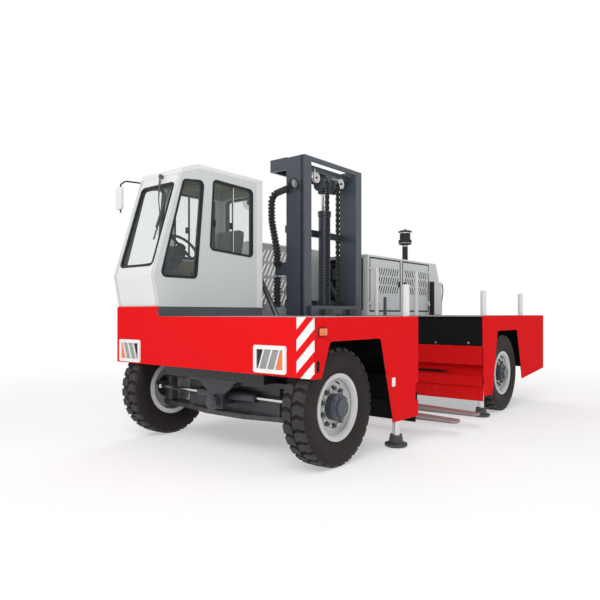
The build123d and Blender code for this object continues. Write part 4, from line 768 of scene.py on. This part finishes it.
def tyre(corner, centre):
    bm = bmesh.new()
    half = CARCASS[1:-1]
    loop = [CARCASS[0]] + half + [CARCASS[-1]] + [(-a, r) for a, r in reversed(half)]
    ring = [bm.verts.new((0.0, a, r)) for a, r in loop]
    edges = [bm.edges.new((ring[i - 1], ring[i])) for i in range(len(ring))]
    bmesh.ops.spin(
        bm, geom=ring + edges, cent=(0, 0, 0), axis=(0, 1, 0), angle=2 * pi, steps=CARCASS_STEPS, use_merge=True
    )
    bmesh.ops.remove_doubles(bm, verts=bm.verts, dist=WELD)
    for hand in (1, -1):
        tread_row(bm, hand)
    bmesh.ops.translate(bm, verts=bm.verts, vec=centre)
    made = piece(f"treaded_tyre_{corner}", bm, f"wheel_{corner}", [tyre_rubber, tread_rubber], 30.0)
    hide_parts(f"tyre_{corner}")


for corner, centre in WHEELS.items():
    tyre(corner, centre)

# Wheel nuts, the hub's bolted flange and the valve

STUDS, STUD_CIRCLE, NUT_SEAT = 10, 0.1675, 0.040
WASHER_TOP, NUT_TOP, STUD_TOP = 0.005, 0.028, 0.040
HUB_FLANGE = [(0.086, 0.100), (0.086, 0.119), (0.088, 0.121), (0.115, 0.121), (0.118, 0.118), (0.118, 0.082)]
FLANGE_BOLTS, FLANGE_BOLT_CIRCLE, FLANGE_FACE = 8, 0.103, 0.117
VALVE_RADIUS, VALVE_SEAT = 0.225, 0.072


def spokes(count):
    """Directions spread evenly round an axle."""
    return [Vector((sin(2 * pi * k / count), 0, cos(2 * pi * k / count))) for k in range(count)]


for corner, centre in WHEELS.items():
    bm = bmesh.new()
    out = Vector((0, 1 if centre.y > 0 else -1, 0))
    for around in spokes(STUDS):
        seat = centre + around * STUD_CIRCLE + out * NUT_SEAT
        rod(bm, seat, seat + out * WASHER_TOP, 0.024, 20)
        rod(bm, seat + out * WASHER_TOP, seat + out * NUT_TOP, 0.0195, 6, 0.002)
        rod(bm, seat + out * NUT_TOP, seat + out * STUD_TOP, 0.0125, 14, 0.002)
    for around in spokes(FLANGE_BOLTS):
        bolt(bm, centre + around * FLANGE_BOLT_CIRCLE + out * FLANGE_FACE, out, 0.009, 1)
    turned(bm, HUB_FLANGE, centre, out, 48, 1)
    stem = centre + Vector((0, 0, VALVE_RADIUS)) + out * VALVE_SEAT
    rod(bm, stem, stem + out * 0.040 - Vector((0, 0, 0.02)), 0.007, 12, 0.001, 2)
    piece(f"wheel_nuts_{corner}", bm, f"wheel_{corner}", [nut_steel, paint_slate, rubber])

# Head lamps: a black, two clear and an amber window between the slanted bars of each bezel

LAMP_HALF_WIDTH, LAMP_HALF_HEIGHT = 0.150, 0.083
LAMP_FLOOR, LAMP_CROWN = NOSE - 0.004 + 0.0003, 0.007
LAMP_BAR = 0.013
LAMP_ENDS = [(0.0, 0.0), (0.09, 0.29), (0.40, 0.60), (0.70, 0.885), (1.0, 1.0)]
LAMP_FINISHES = (0, 1, 1, 2)
LAMP_SPOTS = ((0.898, 0.958, 1), (-1.123, 0.950, -1))


def lamp_window(outline, finish):
    """One window with a raised, rounded face, from its corners."""
    one = bmesh.new()
    floor_face = one.faces.new([one.verts.new(corner) for corner in outline])
    bmesh.ops.inset_region(one, faces=[floor_face], thickness=0.001)
    crown = verts_of(bmesh.ops.extrude_face_region(one, geom=[floor_face])["geom"])
    bmesh.ops.translate(one, verts=crown, vec=(LAMP_CROWN, 0, 0))
    bevel(one, [e for e in one.edges if all(v in crown for v in e.verts)], 0.003)
    tint_from(one, 0, finish)
    return one


bm = bmesh.new()
for lamp_y, lamp_z, hand in LAMP_SPOTS:
    for index, (near, far) in enumerate(zip(LAMP_ENDS, LAMP_ENDS[1:])):
        inner = LAMP_BAR / 2 if index > 0 else 0.0
        outer = LAMP_BAR / 2 if index < len(LAMP_FINISHES) - 1 else 0.0
        outline = []
        for share, edge, rise in (
            (near[0], inner, -1), (far[0], -outer, -1), (far[1], -outer, 1), (near[1], inner, 1),
        ):
            across = LAMP_HALF_WIDTH * (2 * share - 1) + edge
            outline.append((LAMP_FLOOR, lamp_y + hand * across, lamp_z + rise * LAMP_HALF_HEIGHT))
        join(bm, lamp_window(outline, LAMP_FINISHES[index]))
piece("head_lamp_windows", bm, "chassis", [black_plastic, clear_lens, amber], 30.0)

# Small marks on the loading side: marker lamp and reflector, slot hole and the hole near the tail

MARKER_X, MARKER_Z = 2.825, 1.197
SLOTS = ((2.878, 0.918, 0.020, 0.050), (-2.62, 1.205, 0.014, 0.020))
SLOT_FLOOR, SLOT_FACE = LEFT - 0.006, LEFT + 0.0008
bm = bmesh.new()
slab(bm, (0.105, 0.006, 0.075), (MARKER_X, LEFT + 0.003, MARKER_Z), 0.002, 1)
slab(bm, (0.090, 0.024, 0.060), (MARKER_X, LEFT + 0.012, MARKER_Z), 0.008, 0)
slab(bm, (0.062, 0.003, 0.085), (1.687, LEFT + 0.0012, 0.687), 0.001, 2)
piece("side_markers", bm, "chassis", [amber, black_plastic, white_lens])

# The holes are shallow, floored in near-black as painted shade.
bm = bmesh.new()
for slot_x, slot_z, half_x, half_z in SLOTS:
    for end_z in (slot_z - half_z + half_x, slot_z + half_z - half_x):
        rod(bm, (slot_x, SLOT_FLOOR, end_z), (slot_x, SLOT_FACE, end_z), half_x, 20)
    slot_size = (2 * half_x, SLOT_FACE - SLOT_FLOOR, max(2 * (half_z - half_x), 0.002))
    slab(bm, slot_size, (slot_x, (SLOT_FLOOR + SLOT_FACE) / 2, slot_z))
piece("side_slots", bm, "chassis", [hole_painted_shade])

# Louvres pressed in the hood doors and the side cover

LOUVRE_WIDTH, LOUVRE_LIP = 0.024, 0.0035
LOUVRE_DEPTH, LOUVRE_GAP = 0.007, 0.0008
LOUVRE_SHARE, LIP_SHARE = 0.92, 0.98
COVER_LEFT = -1.052


def louvre(bm, x, y, z, lean, length):
    """One slanted vent: the floor of its slot and a raised lip along its upper side."""
    turn = Matrix.Rotation(radians(lean), 4, "Y")
    size = (LOUVRE_WIDTH - LOUVRE_GAP, LOUVRE_DEPTH, length - LOUVRE_GAP)
    slab(bm, size, (x, y - LOUVRE_DEPTH * 0.7, z), 0.0, 1, turn)
    lip = Matrix.Translation((x, y, z)) @ turn @ Matrix.Translation((-LOUVRE_WIDTH * 0.55, 0.0, 0))
    made = bmesh.ops.create_cone(
        bm, cap_ends=True, segments=10, radius1=LOUVRE_LIP, radius2=LOUVRE_LIP, depth=length * LIP_SHARE,
        matrix=lip,
    )
    tint(made["verts"], 0)


def louvre_field(name, body, y, span_x, span_z, lean, columns, rows, behind):
    """Rows of louvres over one panel."""
    bm = bmesh.new()
    (from_x, to_x), (from_z, to_z) = span_x, span_z
    for row in range(rows):
        z = from_z + (to_z - from_z) * (row + 0.5) / rows
        for column in range(columns):
            x = from_x + (to_x - from_x) * (column + 0.5) / columns
            louvre(bm, x, y, z, lean, (to_z - from_z) / rows * LOUVRE_SHARE)
    piece(name, bm, body, [paint_cab, behind])


HOOD_VENTS_Z, COVER_VENTS_Z = (1.64, 2.04), (1.45, 2.22)
# The hood's vent floors are near-black as painted shade.
for end, span_x, lean, columns in (("front", (-0.79, -1.40), -24.0, 9), ("rear", (-1.60, -2.33), 24.0, 10)):
    louvre_field(
        f"hood_louvres_{end}", f"hood_door_{end}", HOOD_LEFT, span_x, HOOD_VENTS_Z, lean, columns, 3, hole_painted_shade
    )
# The cover's vent floors glow as painted light.
louvre_field("cover_louvres", "chassis", COVER_LEFT, (0.15, 1.05), COVER_VENTS_Z, -30.0, 12, 4, slot_painted_light)

# Latches of the hood doors

LATCH_Z = 1.80
for end, latch_x in (("front", -1.405), ("rear", -1.575)):
    bm = bmesh.new()
    slab(bm, (0.036, 0.014, 0.085), (latch_x, HOOD_LEFT + 0.007, LATCH_Z), 0.004)
    slab(bm, (0.016, 0.022, 0.050), (latch_x, HOOD_LEFT + 0.014, LATCH_Z), 0.004)
    piece(f"hood_latch_{end}", bm, f"hood_door_{end}", [black_plastic])

# Lift chains: leaf links and pins down both falls

LINK_PITCH, CHAIN_REACH, PIN_HALF = 0.0714, 0.118, 0.040
OUTER_LEAVES, INNER_LEAVES = (-0.030, -0.010, 0.010, 0.030), (-0.020, 0.0, 0.020)
PINS = (-0.24, 0.24)
bm = bmesh.new()
links = round((CHAIN_TOP - CHAIN_FOOT) / LINK_PITCH)
for hand in (1, -1):
    mid = MAST_X + hand * CHAIN_REACH
    for step in range(links):
        z = CHAIN_FOOT + (step + 0.5) * (CHAIN_TOP - CHAIN_FOOT) / links
        for leaf in OUTER_LEAVES:
            slab(bm, (0.009, 0.026, LINK_PITCH * 0.74), (mid + leaf, CHAIN_Y, z), 0.003)
        for leaf in INNER_LEAVES:
            slab(bm, (0.0085, 0.019, LINK_PITCH * 0.78), (mid + leaf, CHAIN_Y, z + LINK_PITCH / 2), 0.002)
        for pin in PINS:
            pin_z = z + pin * LINK_PITCH
            rod(bm, (mid - PIN_HALF, CHAIN_Y, pin_z), (mid + PIN_HALF, CHAIN_Y, pin_z), 0.0085, 10, 0.0, 1)
chains = piece("leaf_chains", bm, "inner_mast", [chain_steel, bright_steel], 30.0)
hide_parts("lift_chains")
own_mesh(chains)

# Work lamps: a bright ring and a domed lens in each bowl

LAMP_SEAT_X, LAMP_SEAT_Y, LAMP_SEAT_Z = MAST_HALF + 0.074, -0.418, 2.965
LAMP_LENS = [(0.0, 0.0), (0.0, 0.054), (0.004, 0.050), (0.009, 0.034), (0.011, 0.0)]
LAMP_RING = [(0.0, 0.0545), (0.0, 0.0575), (0.007, 0.0575), (0.007, 0.0545), (0.0, 0.0545)]
bm = bmesh.new()
for hand in (1, -1):
    seat = Vector((MAST_X + hand * LAMP_SEAT_X, LAMP_SEAT_Y, LAMP_SEAT_Z))
    turned(bm, LAMP_LENS, seat, (0, 1, 0), 32, 0)
    turned(bm, LAMP_RING, seat, (0, 1, 0), 32, 1)
piece("work_lamp_lenses", bm, "outer_mast", [clear_lens, bright_steel])

# Hose guide: links along the band beside the mast, and a straight run of them below it

HOSE_X = MAST_X + MAST_HALF + 0.032
HOSE_LINE = [(-0.575, 2.925), (-0.832, 2.879), (-0.836, 2.557), (-0.737, 2.143), (-0.735, 2.005)]
HOSE_LINK, HOSE_PITCH, HOSE_EDGE = (0.064, 0.074, 0.031), 0.044, 0.006
LOWER_LINKS, LOWER_Y, LOWER_TOP = 9, -0.735, 1.795
bm = bmesh.new()
for place, way in route([(HOSE_X, y, z) for y, z in HOSE_LINE], 0.10, HOSE_PITCH):
    slab(bm, HOSE_LINK, place, HOSE_EDGE, 0, Matrix.Rotation(atan2(-way.y, way.z), 4, "X"))
for step in range(LOWER_LINKS):
    slab(bm, HOSE_LINK, (HOSE_X, LOWER_Y, LOWER_TOP - HOSE_PITCH * step), HOSE_EDGE)
slab(bm, (0.050, 0.050, 0.39), (HOSE_X, LOWER_Y, 1.624), 0.004)
piece("hose_guide_links", bm, "outer_mast", [ribbed_black])

# Hose pulleys under the mast's crosshead

PULLEY = [
    (-0.016, 0.0), (-0.016, 0.068), (-0.006, 0.060), (0.006, 0.060), (0.016, 0.068), (0.016, 0.050),
    (0.013, 0.046), (0.013, 0.0),
]
PULLEY_Y, HANGER_Y, HANGER_RISE = -0.402, -0.4245, 0.055
bm = bmesh.new()
for pulley_x, pulley_z in ((0.629, 3.108), (0.082, 3.120)):
    centre = Vector((pulley_x, PULLEY_Y, pulley_z))
    turned(bm, PULLEY, centre, (0, 1, 0), 36, 0)
    rod(bm, centre - Vector((0, 0.030, 0)), centre + Vector((0, 0.026, 0)), 0.014, 6, 0.002, 1)
    slab(bm, (0.034, 0.010, 0.150), (pulley_x, HANGER_Y, pulley_z + HANGER_RISE), 0.003, 2)
piece("hose_pulleys", bm, "inner_mast", [bright_steel, black_plastic, paint_slate])

# Windscreen wiper

OFF_SCREEN = Vector((1.15, 0.0, 0.365)).normalized()
WIPER_PIVOT = Vector((2.632, -0.962, 2.832)) + OFF_SCREEN * 0.004
BLADE_FOOT = Vector((2.859, -0.800, 2.113)) + OFF_SCREEN * 0.014
BLADE_HEAD = Vector((2.690, -0.768, 2.646)) + OFF_SCREEN * 0.014
BLADE_MID = (BLADE_FOOT + BLADE_HEAD) / 2
ARM_ELBOW = WIPER_PIVOT * 0.35 + BLADE_MID * 0.65 + OFF_SCREEN * 0.042
ARM_HALF_GAP = 0.014
blade = BLADE_HEAD - BLADE_FOOT
blade_turn = facing(blade.normalized())
bm = bmesh.new()
rod(bm, WIPER_PIVOT, WIPER_PIVOT + OFF_SCREEN * 0.040, 0.022, 20, 0.004)
for side in (-ARM_HALF_GAP, ARM_HALF_GAP):
    arm_foot = WIPER_PIVOT + OFF_SCREEN * 0.032 + Vector((0, side, 0))
    tube(bm, [arm_foot, ARM_ELBOW, BLADE_MID + OFF_SCREEN * 0.018], 0.0055, 0.05, 0.03, 8)
slab(bm, (0.012, 0.016, blade.length), BLADE_MID, 0.003, 0, blade_turn)
slab(bm, (0.020, 0.020, 0.30), BLADE_MID + OFF_SCREEN * 0.012, 0.004, 0, blade_turn)
piece("windscreen_wiper", bm, "chassis", [wiper_grey])

# Sliding pane of the rear side window with its latches, and the door's pane rail, latch and handle

PANE_X, PANE_Y, PANE_Z = 1.855, CAB_LEFT - 0.0225, 2.4335
DOOR_PANE_Y = RIGHT + 0.0225
PANE_LATCH, PANE_LATCH_Z = (0.034, 0.026, 0.075), 2.36
HANDLE_Z = 1.90
HANDLE_LINE = [(1.655, 0.008), (1.640, 0.045), (1.520, 0.045), (1.505, 0.008)]
bm = bmesh.new()
slab(bm, (0.020, 0.016, 0.770), (PANE_X, PANE_Y, PANE_Z), 0.003, 0)
# A pale strip down the rail: painted reflection on its aluminium channel.
slab(bm, (0.009, 0.004, 0.766), (PANE_X, PANE_Y + 0.009, PANE_Z), 0.001, 2)
for latch_x in (1.886, 2.143):
    slab(bm, PANE_LATCH, (latch_x, PANE_Y, PANE_LATCH_Z), 0.006, 1)
piece("sliding_pane_rail", bm, "chassis", [rubber, black_plastic, paint_front_cab])
bm = bmesh.new()
slab(bm, (0.022, 0.014, 0.740), (1.95, DOOR_PANE_Y, 2.399), 0.003, 0)
slab(bm, PANE_LATCH, (1.982, DOOR_PANE_Y, PANE_LATCH_Z), 0.006, 1)
slab(bm, (0.190, 0.012, 0.060), (1.58, RIGHT - 0.006, HANDLE_Z), 0.005, 1)
tube(bm, [(x, RIGHT - proud, HANDLE_Z) for x, proud in HANDLE_LINE], 0.009, 0.02, 0.012, 10, 1)
piece("door_pane_rail_and_handle", bm, "cab_door", [rubber, black_plastic])

# Mirror glass on the side of the mirror that faces the cab

MIRROR_SIZE = (0.003, 0.096, 0.236)
bm = bmesh.new()
slab(bm, MIRROR_SIZE, (MIRROR_BACK_X, -1.49, 2.64))
bevel(bm, [e for e in bm.edges if abs(e.verts[0].co.x - e.verts[1].co.x) > 0.002], 0.022, 4)
piece("mirror_glass", bm, "chassis", [mirror_silver])

# Fan, levers, column shroud and gauges in the cab

FAN, FAN_WAY = Vector((1.500, -0.760, 2.700)), (1, 0.3, 0)
FAN_RINGS, FAN_WIRE, FAN_SPOKES = (0.030, 0.055, 0.080), 0.003, 12
FAN_ARM = [(1.4215, -0.80, 2.60), (1.45, -0.80, 2.60), (1.45, -0.78, 2.69)]
LEVERS, LEVER_PITCH, LEVER_FOOT = 4, 0.040, Vector((2.62, -0.735, 1.79))
GAUGES, GAUGE_PITCH, GAUGE_SEAT = 3, 0.085, Vector((2.62, -1.10, 1.817))
GAUGE = [(0.0, 0.0), (0.0, 0.034), (0.012, 0.034), (0.014, 0.030), (0.008, 0.029), (0.008, 0.0)]
COLUMN_LEAN, DASH_LEAN = -38.0, 12.0
bm = bmesh.new()
for ring_radius in FAN_RINGS:
    angles = [2 * pi * k / 8 for k in range(9)]
    wire = [(FAN_WIRE * sin(angle), ring_radius + FAN_WIRE * cos(angle)) for angle in angles]
    turned(bm, wire, FAN, FAN_WAY, 28)
for spoke in range(FAN_SPOKES):
    angle = 2 * pi * spoke / FAN_SPOKES
    tip = facing(FAN_WAY) @ Vector((FAN_RINGS[-1] * cos(angle), FAN_RINGS[-1] * sin(angle), 0.0))
    rod(bm, FAN, FAN + tip, 0.0025, 6)
rod(bm, FAN - Vector((0.075, 0.0225, 0)), FAN, 0.030, 20, 0.006)
tube(bm, FAN_ARM, 0.008, 0.02, 0.015, 8)
for lever in range(LEVERS):
    foot = LEVER_FOOT - Vector((0, LEVER_PITCH * lever, 0))
    tube(bm, [foot, foot + Vector((-0.015, 0, 0.07)), foot + Vector((-0.055, 0, 0.15))], 0.006, 0.03, 0.02, 8)
    knob(bm, foot + Vector((-0.058, 0, 0.158)), (-0.04, 0, 0.08), 0.017)
for size, place, edge, lean in (
    ((0.150, 0.230, 0.300), (2.480, CAB_MID, 1.955), 0.035, COLUMN_LEAN),
    ((0.220, 0.420, 0.120), (2.640, CAB_MID, 1.850), 0.040, DASH_LEAN),
):
    slab(bm, size, place, edge, 0, Matrix.Rotation(radians(lean), 4, "Y"))
for gauge in range(GAUGES):
    turned(bm, GAUGE, GAUGE_SEAT - Vector((0, GAUGE_PITCH * gauge, 0)), (-0.1, 0, 1), 28)
piece("cab_fan_levers_gauges", bm, "chassis", [black_plastic])

# Black seams round the hood doors, the handle of the side box and the bands of the air cleaner

SEAM_WIDTH, SEAM_PROUD, SEAM_EDGE = 0.017, 0.003, 0.0008
DOOR_FOOT, DOOR_TOP = 1.390, 2.155
DOOR_SPANS = ((-0.578, -1.4375), (-1.5325, -2.392))
BOX_HANDLE_Y = -0.262
BOX_HANDLE = [(-2.715, 1.868), (-2.776, 1.846), (-2.806, 1.723), (-2.742, 1.55), (-2.742, 1.345), (-2.718, 1.335)]
bm = bmesh.new()
for near_x, far_x in DOOR_SPANS:
    long_seam = (near_x - far_x + 2 * SEAM_WIDTH, SEAM_PROUD, SEAM_WIDTH)
    tall_seam = (SEAM_WIDTH, SEAM_PROUD, DOOR_TOP - DOOR_FOOT)
    seam_y = HOOD_LEFT + SEAM_PROUD / 2
    for seam_z in (DOOR_TOP + SEAM_WIDTH / 2, DOOR_FOOT - SEAM_WIDTH / 2):
        slab(bm, long_seam, ((near_x + far_x) / 2, seam_y, seam_z), SEAM_EDGE)
    for seam_x in (near_x + SEAM_WIDTH / 2, far_x - SEAM_WIDTH / 2):
        slab(bm, tall_seam, (seam_x, seam_y, (DOOR_FOOT + DOOR_TOP) / 2), SEAM_EDGE)
tube(bm, [(x, BOX_HANDLE_Y, z) for x, z in BOX_HANDLE], 0.009, 0.06, 0.02, 10)
piece("hood_seams_and_box_handle", bm, "chassis", [rubber])

CLEANER = Vector((-2.070, -0.600, HOOD_TOP))
CLEANER_BANDS = ((0.262, 0.280, 0.0455, 0.0490), (0.484, 0.499, 0.0875, 0.0900), (0.3135, 0.3200, 0.1095, 0.1115))
CLEANER_KNOB_Z = 0.556
bm = bmesh.new()
for low, high, inner, outer in CLEANER_BANDS:
    turned(bm, [(low, inner), (low, outer), (high, outer), (high, inner), (low, inner)], CLEANER, (0, 0, 1), 40)
knob(bm, CLEANER + Vector((0, 0, CLEANER_KNOB_Z)), (0, 0, 1), 0.016)
piece("air_cleaner_bands", bm, "chassis", [bright_steel])

# Bolts on the well's rear wall and the mast head

REAR_WALL_X = -0.5502
MAST_BACK, HEAD_BOLTS, HEAD_BOLT_FOOT, HEAD_BOLT_PITCH = -0.886, 4, 3.21, 0.03
bm = bmesh.new()
for bolt_y, bolt_z in ((0.707, 0.958), (1.162, 0.967)):
    bolt(bm, (REAR_WALL_X, bolt_y, bolt_z), (1, 0, 0), 0.012)
piece("well_wall_bolts", bm, "chassis", [bright_steel])
bm = bmesh.new()
for hand in (1, -1):
    bolt_x = MAST_X + hand * (MAST_HALF - 0.06)
    for step in range(HEAD_BOLTS):
        bolt(bm, (bolt_x, MAST_BACK, HEAD_BOLT_FOOT + HEAD_BOLT_PITCH * step), (0, -1, 0), 0.010)
piece("mast_head_bolts", bm, "outer_mast", [paint_slate])

# Tail lamps

TAIL_LAMP_Y, TAIL_LAMP_Z, TAIL_LAMP_PITCH = 1.12, 1.08, 0.105
bm = bmesh.new()
for hand in (1, -1):
    slab(bm, (0.006, 0.330, 0.120), (TAIL - 0.003, hand * TAIL_LAMP_Y, TAIL_LAMP_Z), 0.002, 0)
    for lamp_step, finish in ((TAIL_LAMP_PITCH, 1), (0.0, 2), (-TAIL_LAMP_PITCH, 3)):
        lamp_place = (TAIL - 0.017, hand * (TAIL_LAMP_Y + lamp_step), TAIL_LAMP_Z)
        slab(bm, (0.026, 0.094, 0.098), lamp_place, 0.008, finish)
piece("tail_lamps", bm, "chassis", [black_plastic, amber, red_lens, white_lens])

# Seat: a crowned cushion and back with sewn channels

PAD_CUTS, PAD_WAIST = 27, 0.035
CHANNELS, CHANNEL_HALF, CHANNEL_DEPTH = (-0.45, 0.45), 0.09, 0.10
CROWN_FROM = -0.2
BACK_LEAN = 8.0


def pad(bm, size, place, turn, crown):
    """A stuffed pad: flat below, crowned above, its sides drawn in between the corners."""
    one = bmesh.new()
    bmesh.ops.create_cube(one, size=1.0)
    bmesh.ops.subdivide_edges(one, edges=one.edges[:], cuts=PAD_CUTS, use_grid_fill=True)
    for vert in one.verts:
        across, along, up = vert.co * 2
        reach = (abs(across) ** 8 + abs(along) ** 8 + abs(up) ** 8) ** 0.125
        vert.co /= max(reach, 1.0) ** 0.9
        vert.co.x *= 1 - PAD_WAIST * (1 - along * along)
        vert.co.y *= 1 - PAD_WAIST * (1 - across * across)
        if up > CROWN_FROM:
            dome = (1 - across * across) * (1 - along * along)
            groove = sum(max(0.0, 1 - abs(along - channel) / CHANNEL_HALF) for channel in CHANNELS)
            rim = min(1.0, (1 - abs(across)) / 0.2)
            share = (up - CROWN_FROM) / (1 - CROWN_FROM)
            vert.co.z += share * (crown * dome - CHANNEL_DEPTH * groove * rim)
    space = Matrix.Translation(place) @ turn @ Matrix.Diagonal((*size, 1.0))
    bmesh.ops.transform(one, matrix=space, verts=one.verts)
    join(bm, one)


bm = bmesh.new()
pad(bm, (0.46, 0.45, 0.118), (1.825, CAB_MID, 1.800), Matrix(), 0.20)
pad(bm, (0.46, 0.44, 0.085), (1.605, CAB_MID, 2.135), Matrix.Rotation(radians(90.0 - BACK_LEAN), 4, "Y"), 0.22)
seat_pads = piece("seat_pads", bm, "chassis", [cloth], 60.0)
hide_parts("seat")

# Camera, light and floor

camera_data = bpy.data.cameras.new("camera")
camera_data.lens = 34.54
camera_data.sensor_width = 36.0
camera_data.shift_y = 0.0221
camera_data.clip_end = 200.0
camera = bpy.data.objects.new("camera", camera_data)
camera.location = (6.536, 4.188, 1.3486)
camera.rotation_euler = (radians(90.0), 0.0, radians(129.43))
scene.collection.objects.link(camera)
scene.camera = camera

LIGHT_SIZE = 6.0


def lamp(name, place, target, watts):
    """A soft square light aimed at a point."""
    data = bpy.data.lights.new(name, "AREA")
    data.size = LIGHT_SIZE
    data.energy = watts
    obj = bpy.data.objects.new(name, data)
    obj.location = place
    obj.rotation_euler = (Vector(target) - Vector(place)).to_track_quat("-Z", "Y").to_euler()
    scene.collection.objects.link(obj)


lamp("key_light", (9.0, 4.0, 8.0), (0.5, 0.0, 1.2), 620.0)
lamp("side_light", (-2.0, 10.0, 7.0), (-0.5, 0.0, 1.0), 90.0)
lamp("back_light", (-8.0, -7.0, 8.0), (0.0, 0.0, 1.5), 300.0)


def studio_sky():
    """White where it is seen straight, in a mirror or through glass, and half as bright as a light."""
    world = bpy.data.worlds.new("studio")
    scene.world = world
    world.use_nodes = True
    world.node_tree.nodes.clear()
    sky = Sock(world.node_tree)
    rays = ("Is Camera Ray", "Is Glossy Ray", "Is Transmission Ray")
    direct, glossy, through = (sky.add("LightPath", pick=ray) for ray in rays)
    seen = direct.larger(glossy.larger(through))
    glow = sky.add("Background", None, {"Color": rgb(1, 1, 1), "Strength": seen * 0.5 + 0.5})
    sky.add("OutputWorld", None, {"Surface": glow})


FLOOR_HALF, FLOOR_DROP = 60.0, 0.002
FLOOR_FADE, FLOOR_FADE_HALF = 6.5, 3.0


def floor_finish():
    """Pale grey under the machine that fades to white around it."""
    made, base, spot, (x, y, z) = start("pale_floor")
    far = (x * x + y * y).root().above(FLOOR_FADE, FLOOR_FADE_HALF)
    pale = {"Base Color": rgb(0.60, 0.60, 0.60), "Roughness": 0.9}
    pale.update({"Emission Color": rgb(1, 1, 1), "Emission Strength": 0.42})
    ground = base.add("BsdfPrincipled", None, pale)
    bright = base.add("Emission", None, {"Color": rgb(1, 1, 1), "Strength": 1.0})
    surface = base.add("MixShader", None, {0: far, 1: ground, 2: bright})
    base.add("OutputMaterial", None, {"Surface": surface})
    return made


studio_sky()
bm = bmesh.new()
bmesh.ops.create_grid(bm, x_segments=1, y_segments=1, size=FLOOR_HALF)
floor_mesh = bpy.data.meshes.new("floor")
bm.to_mesh(floor_mesh)
bm.free()
floor_mesh.materials.append(floor_finish())
floor = bpy.data.objects.new("floor", floor_mesh)
floor.location = (0, 0, -FLOOR_DROP)
scene.collection.objects.link(floor)

scene.view_settings.view_transform = "Standard"
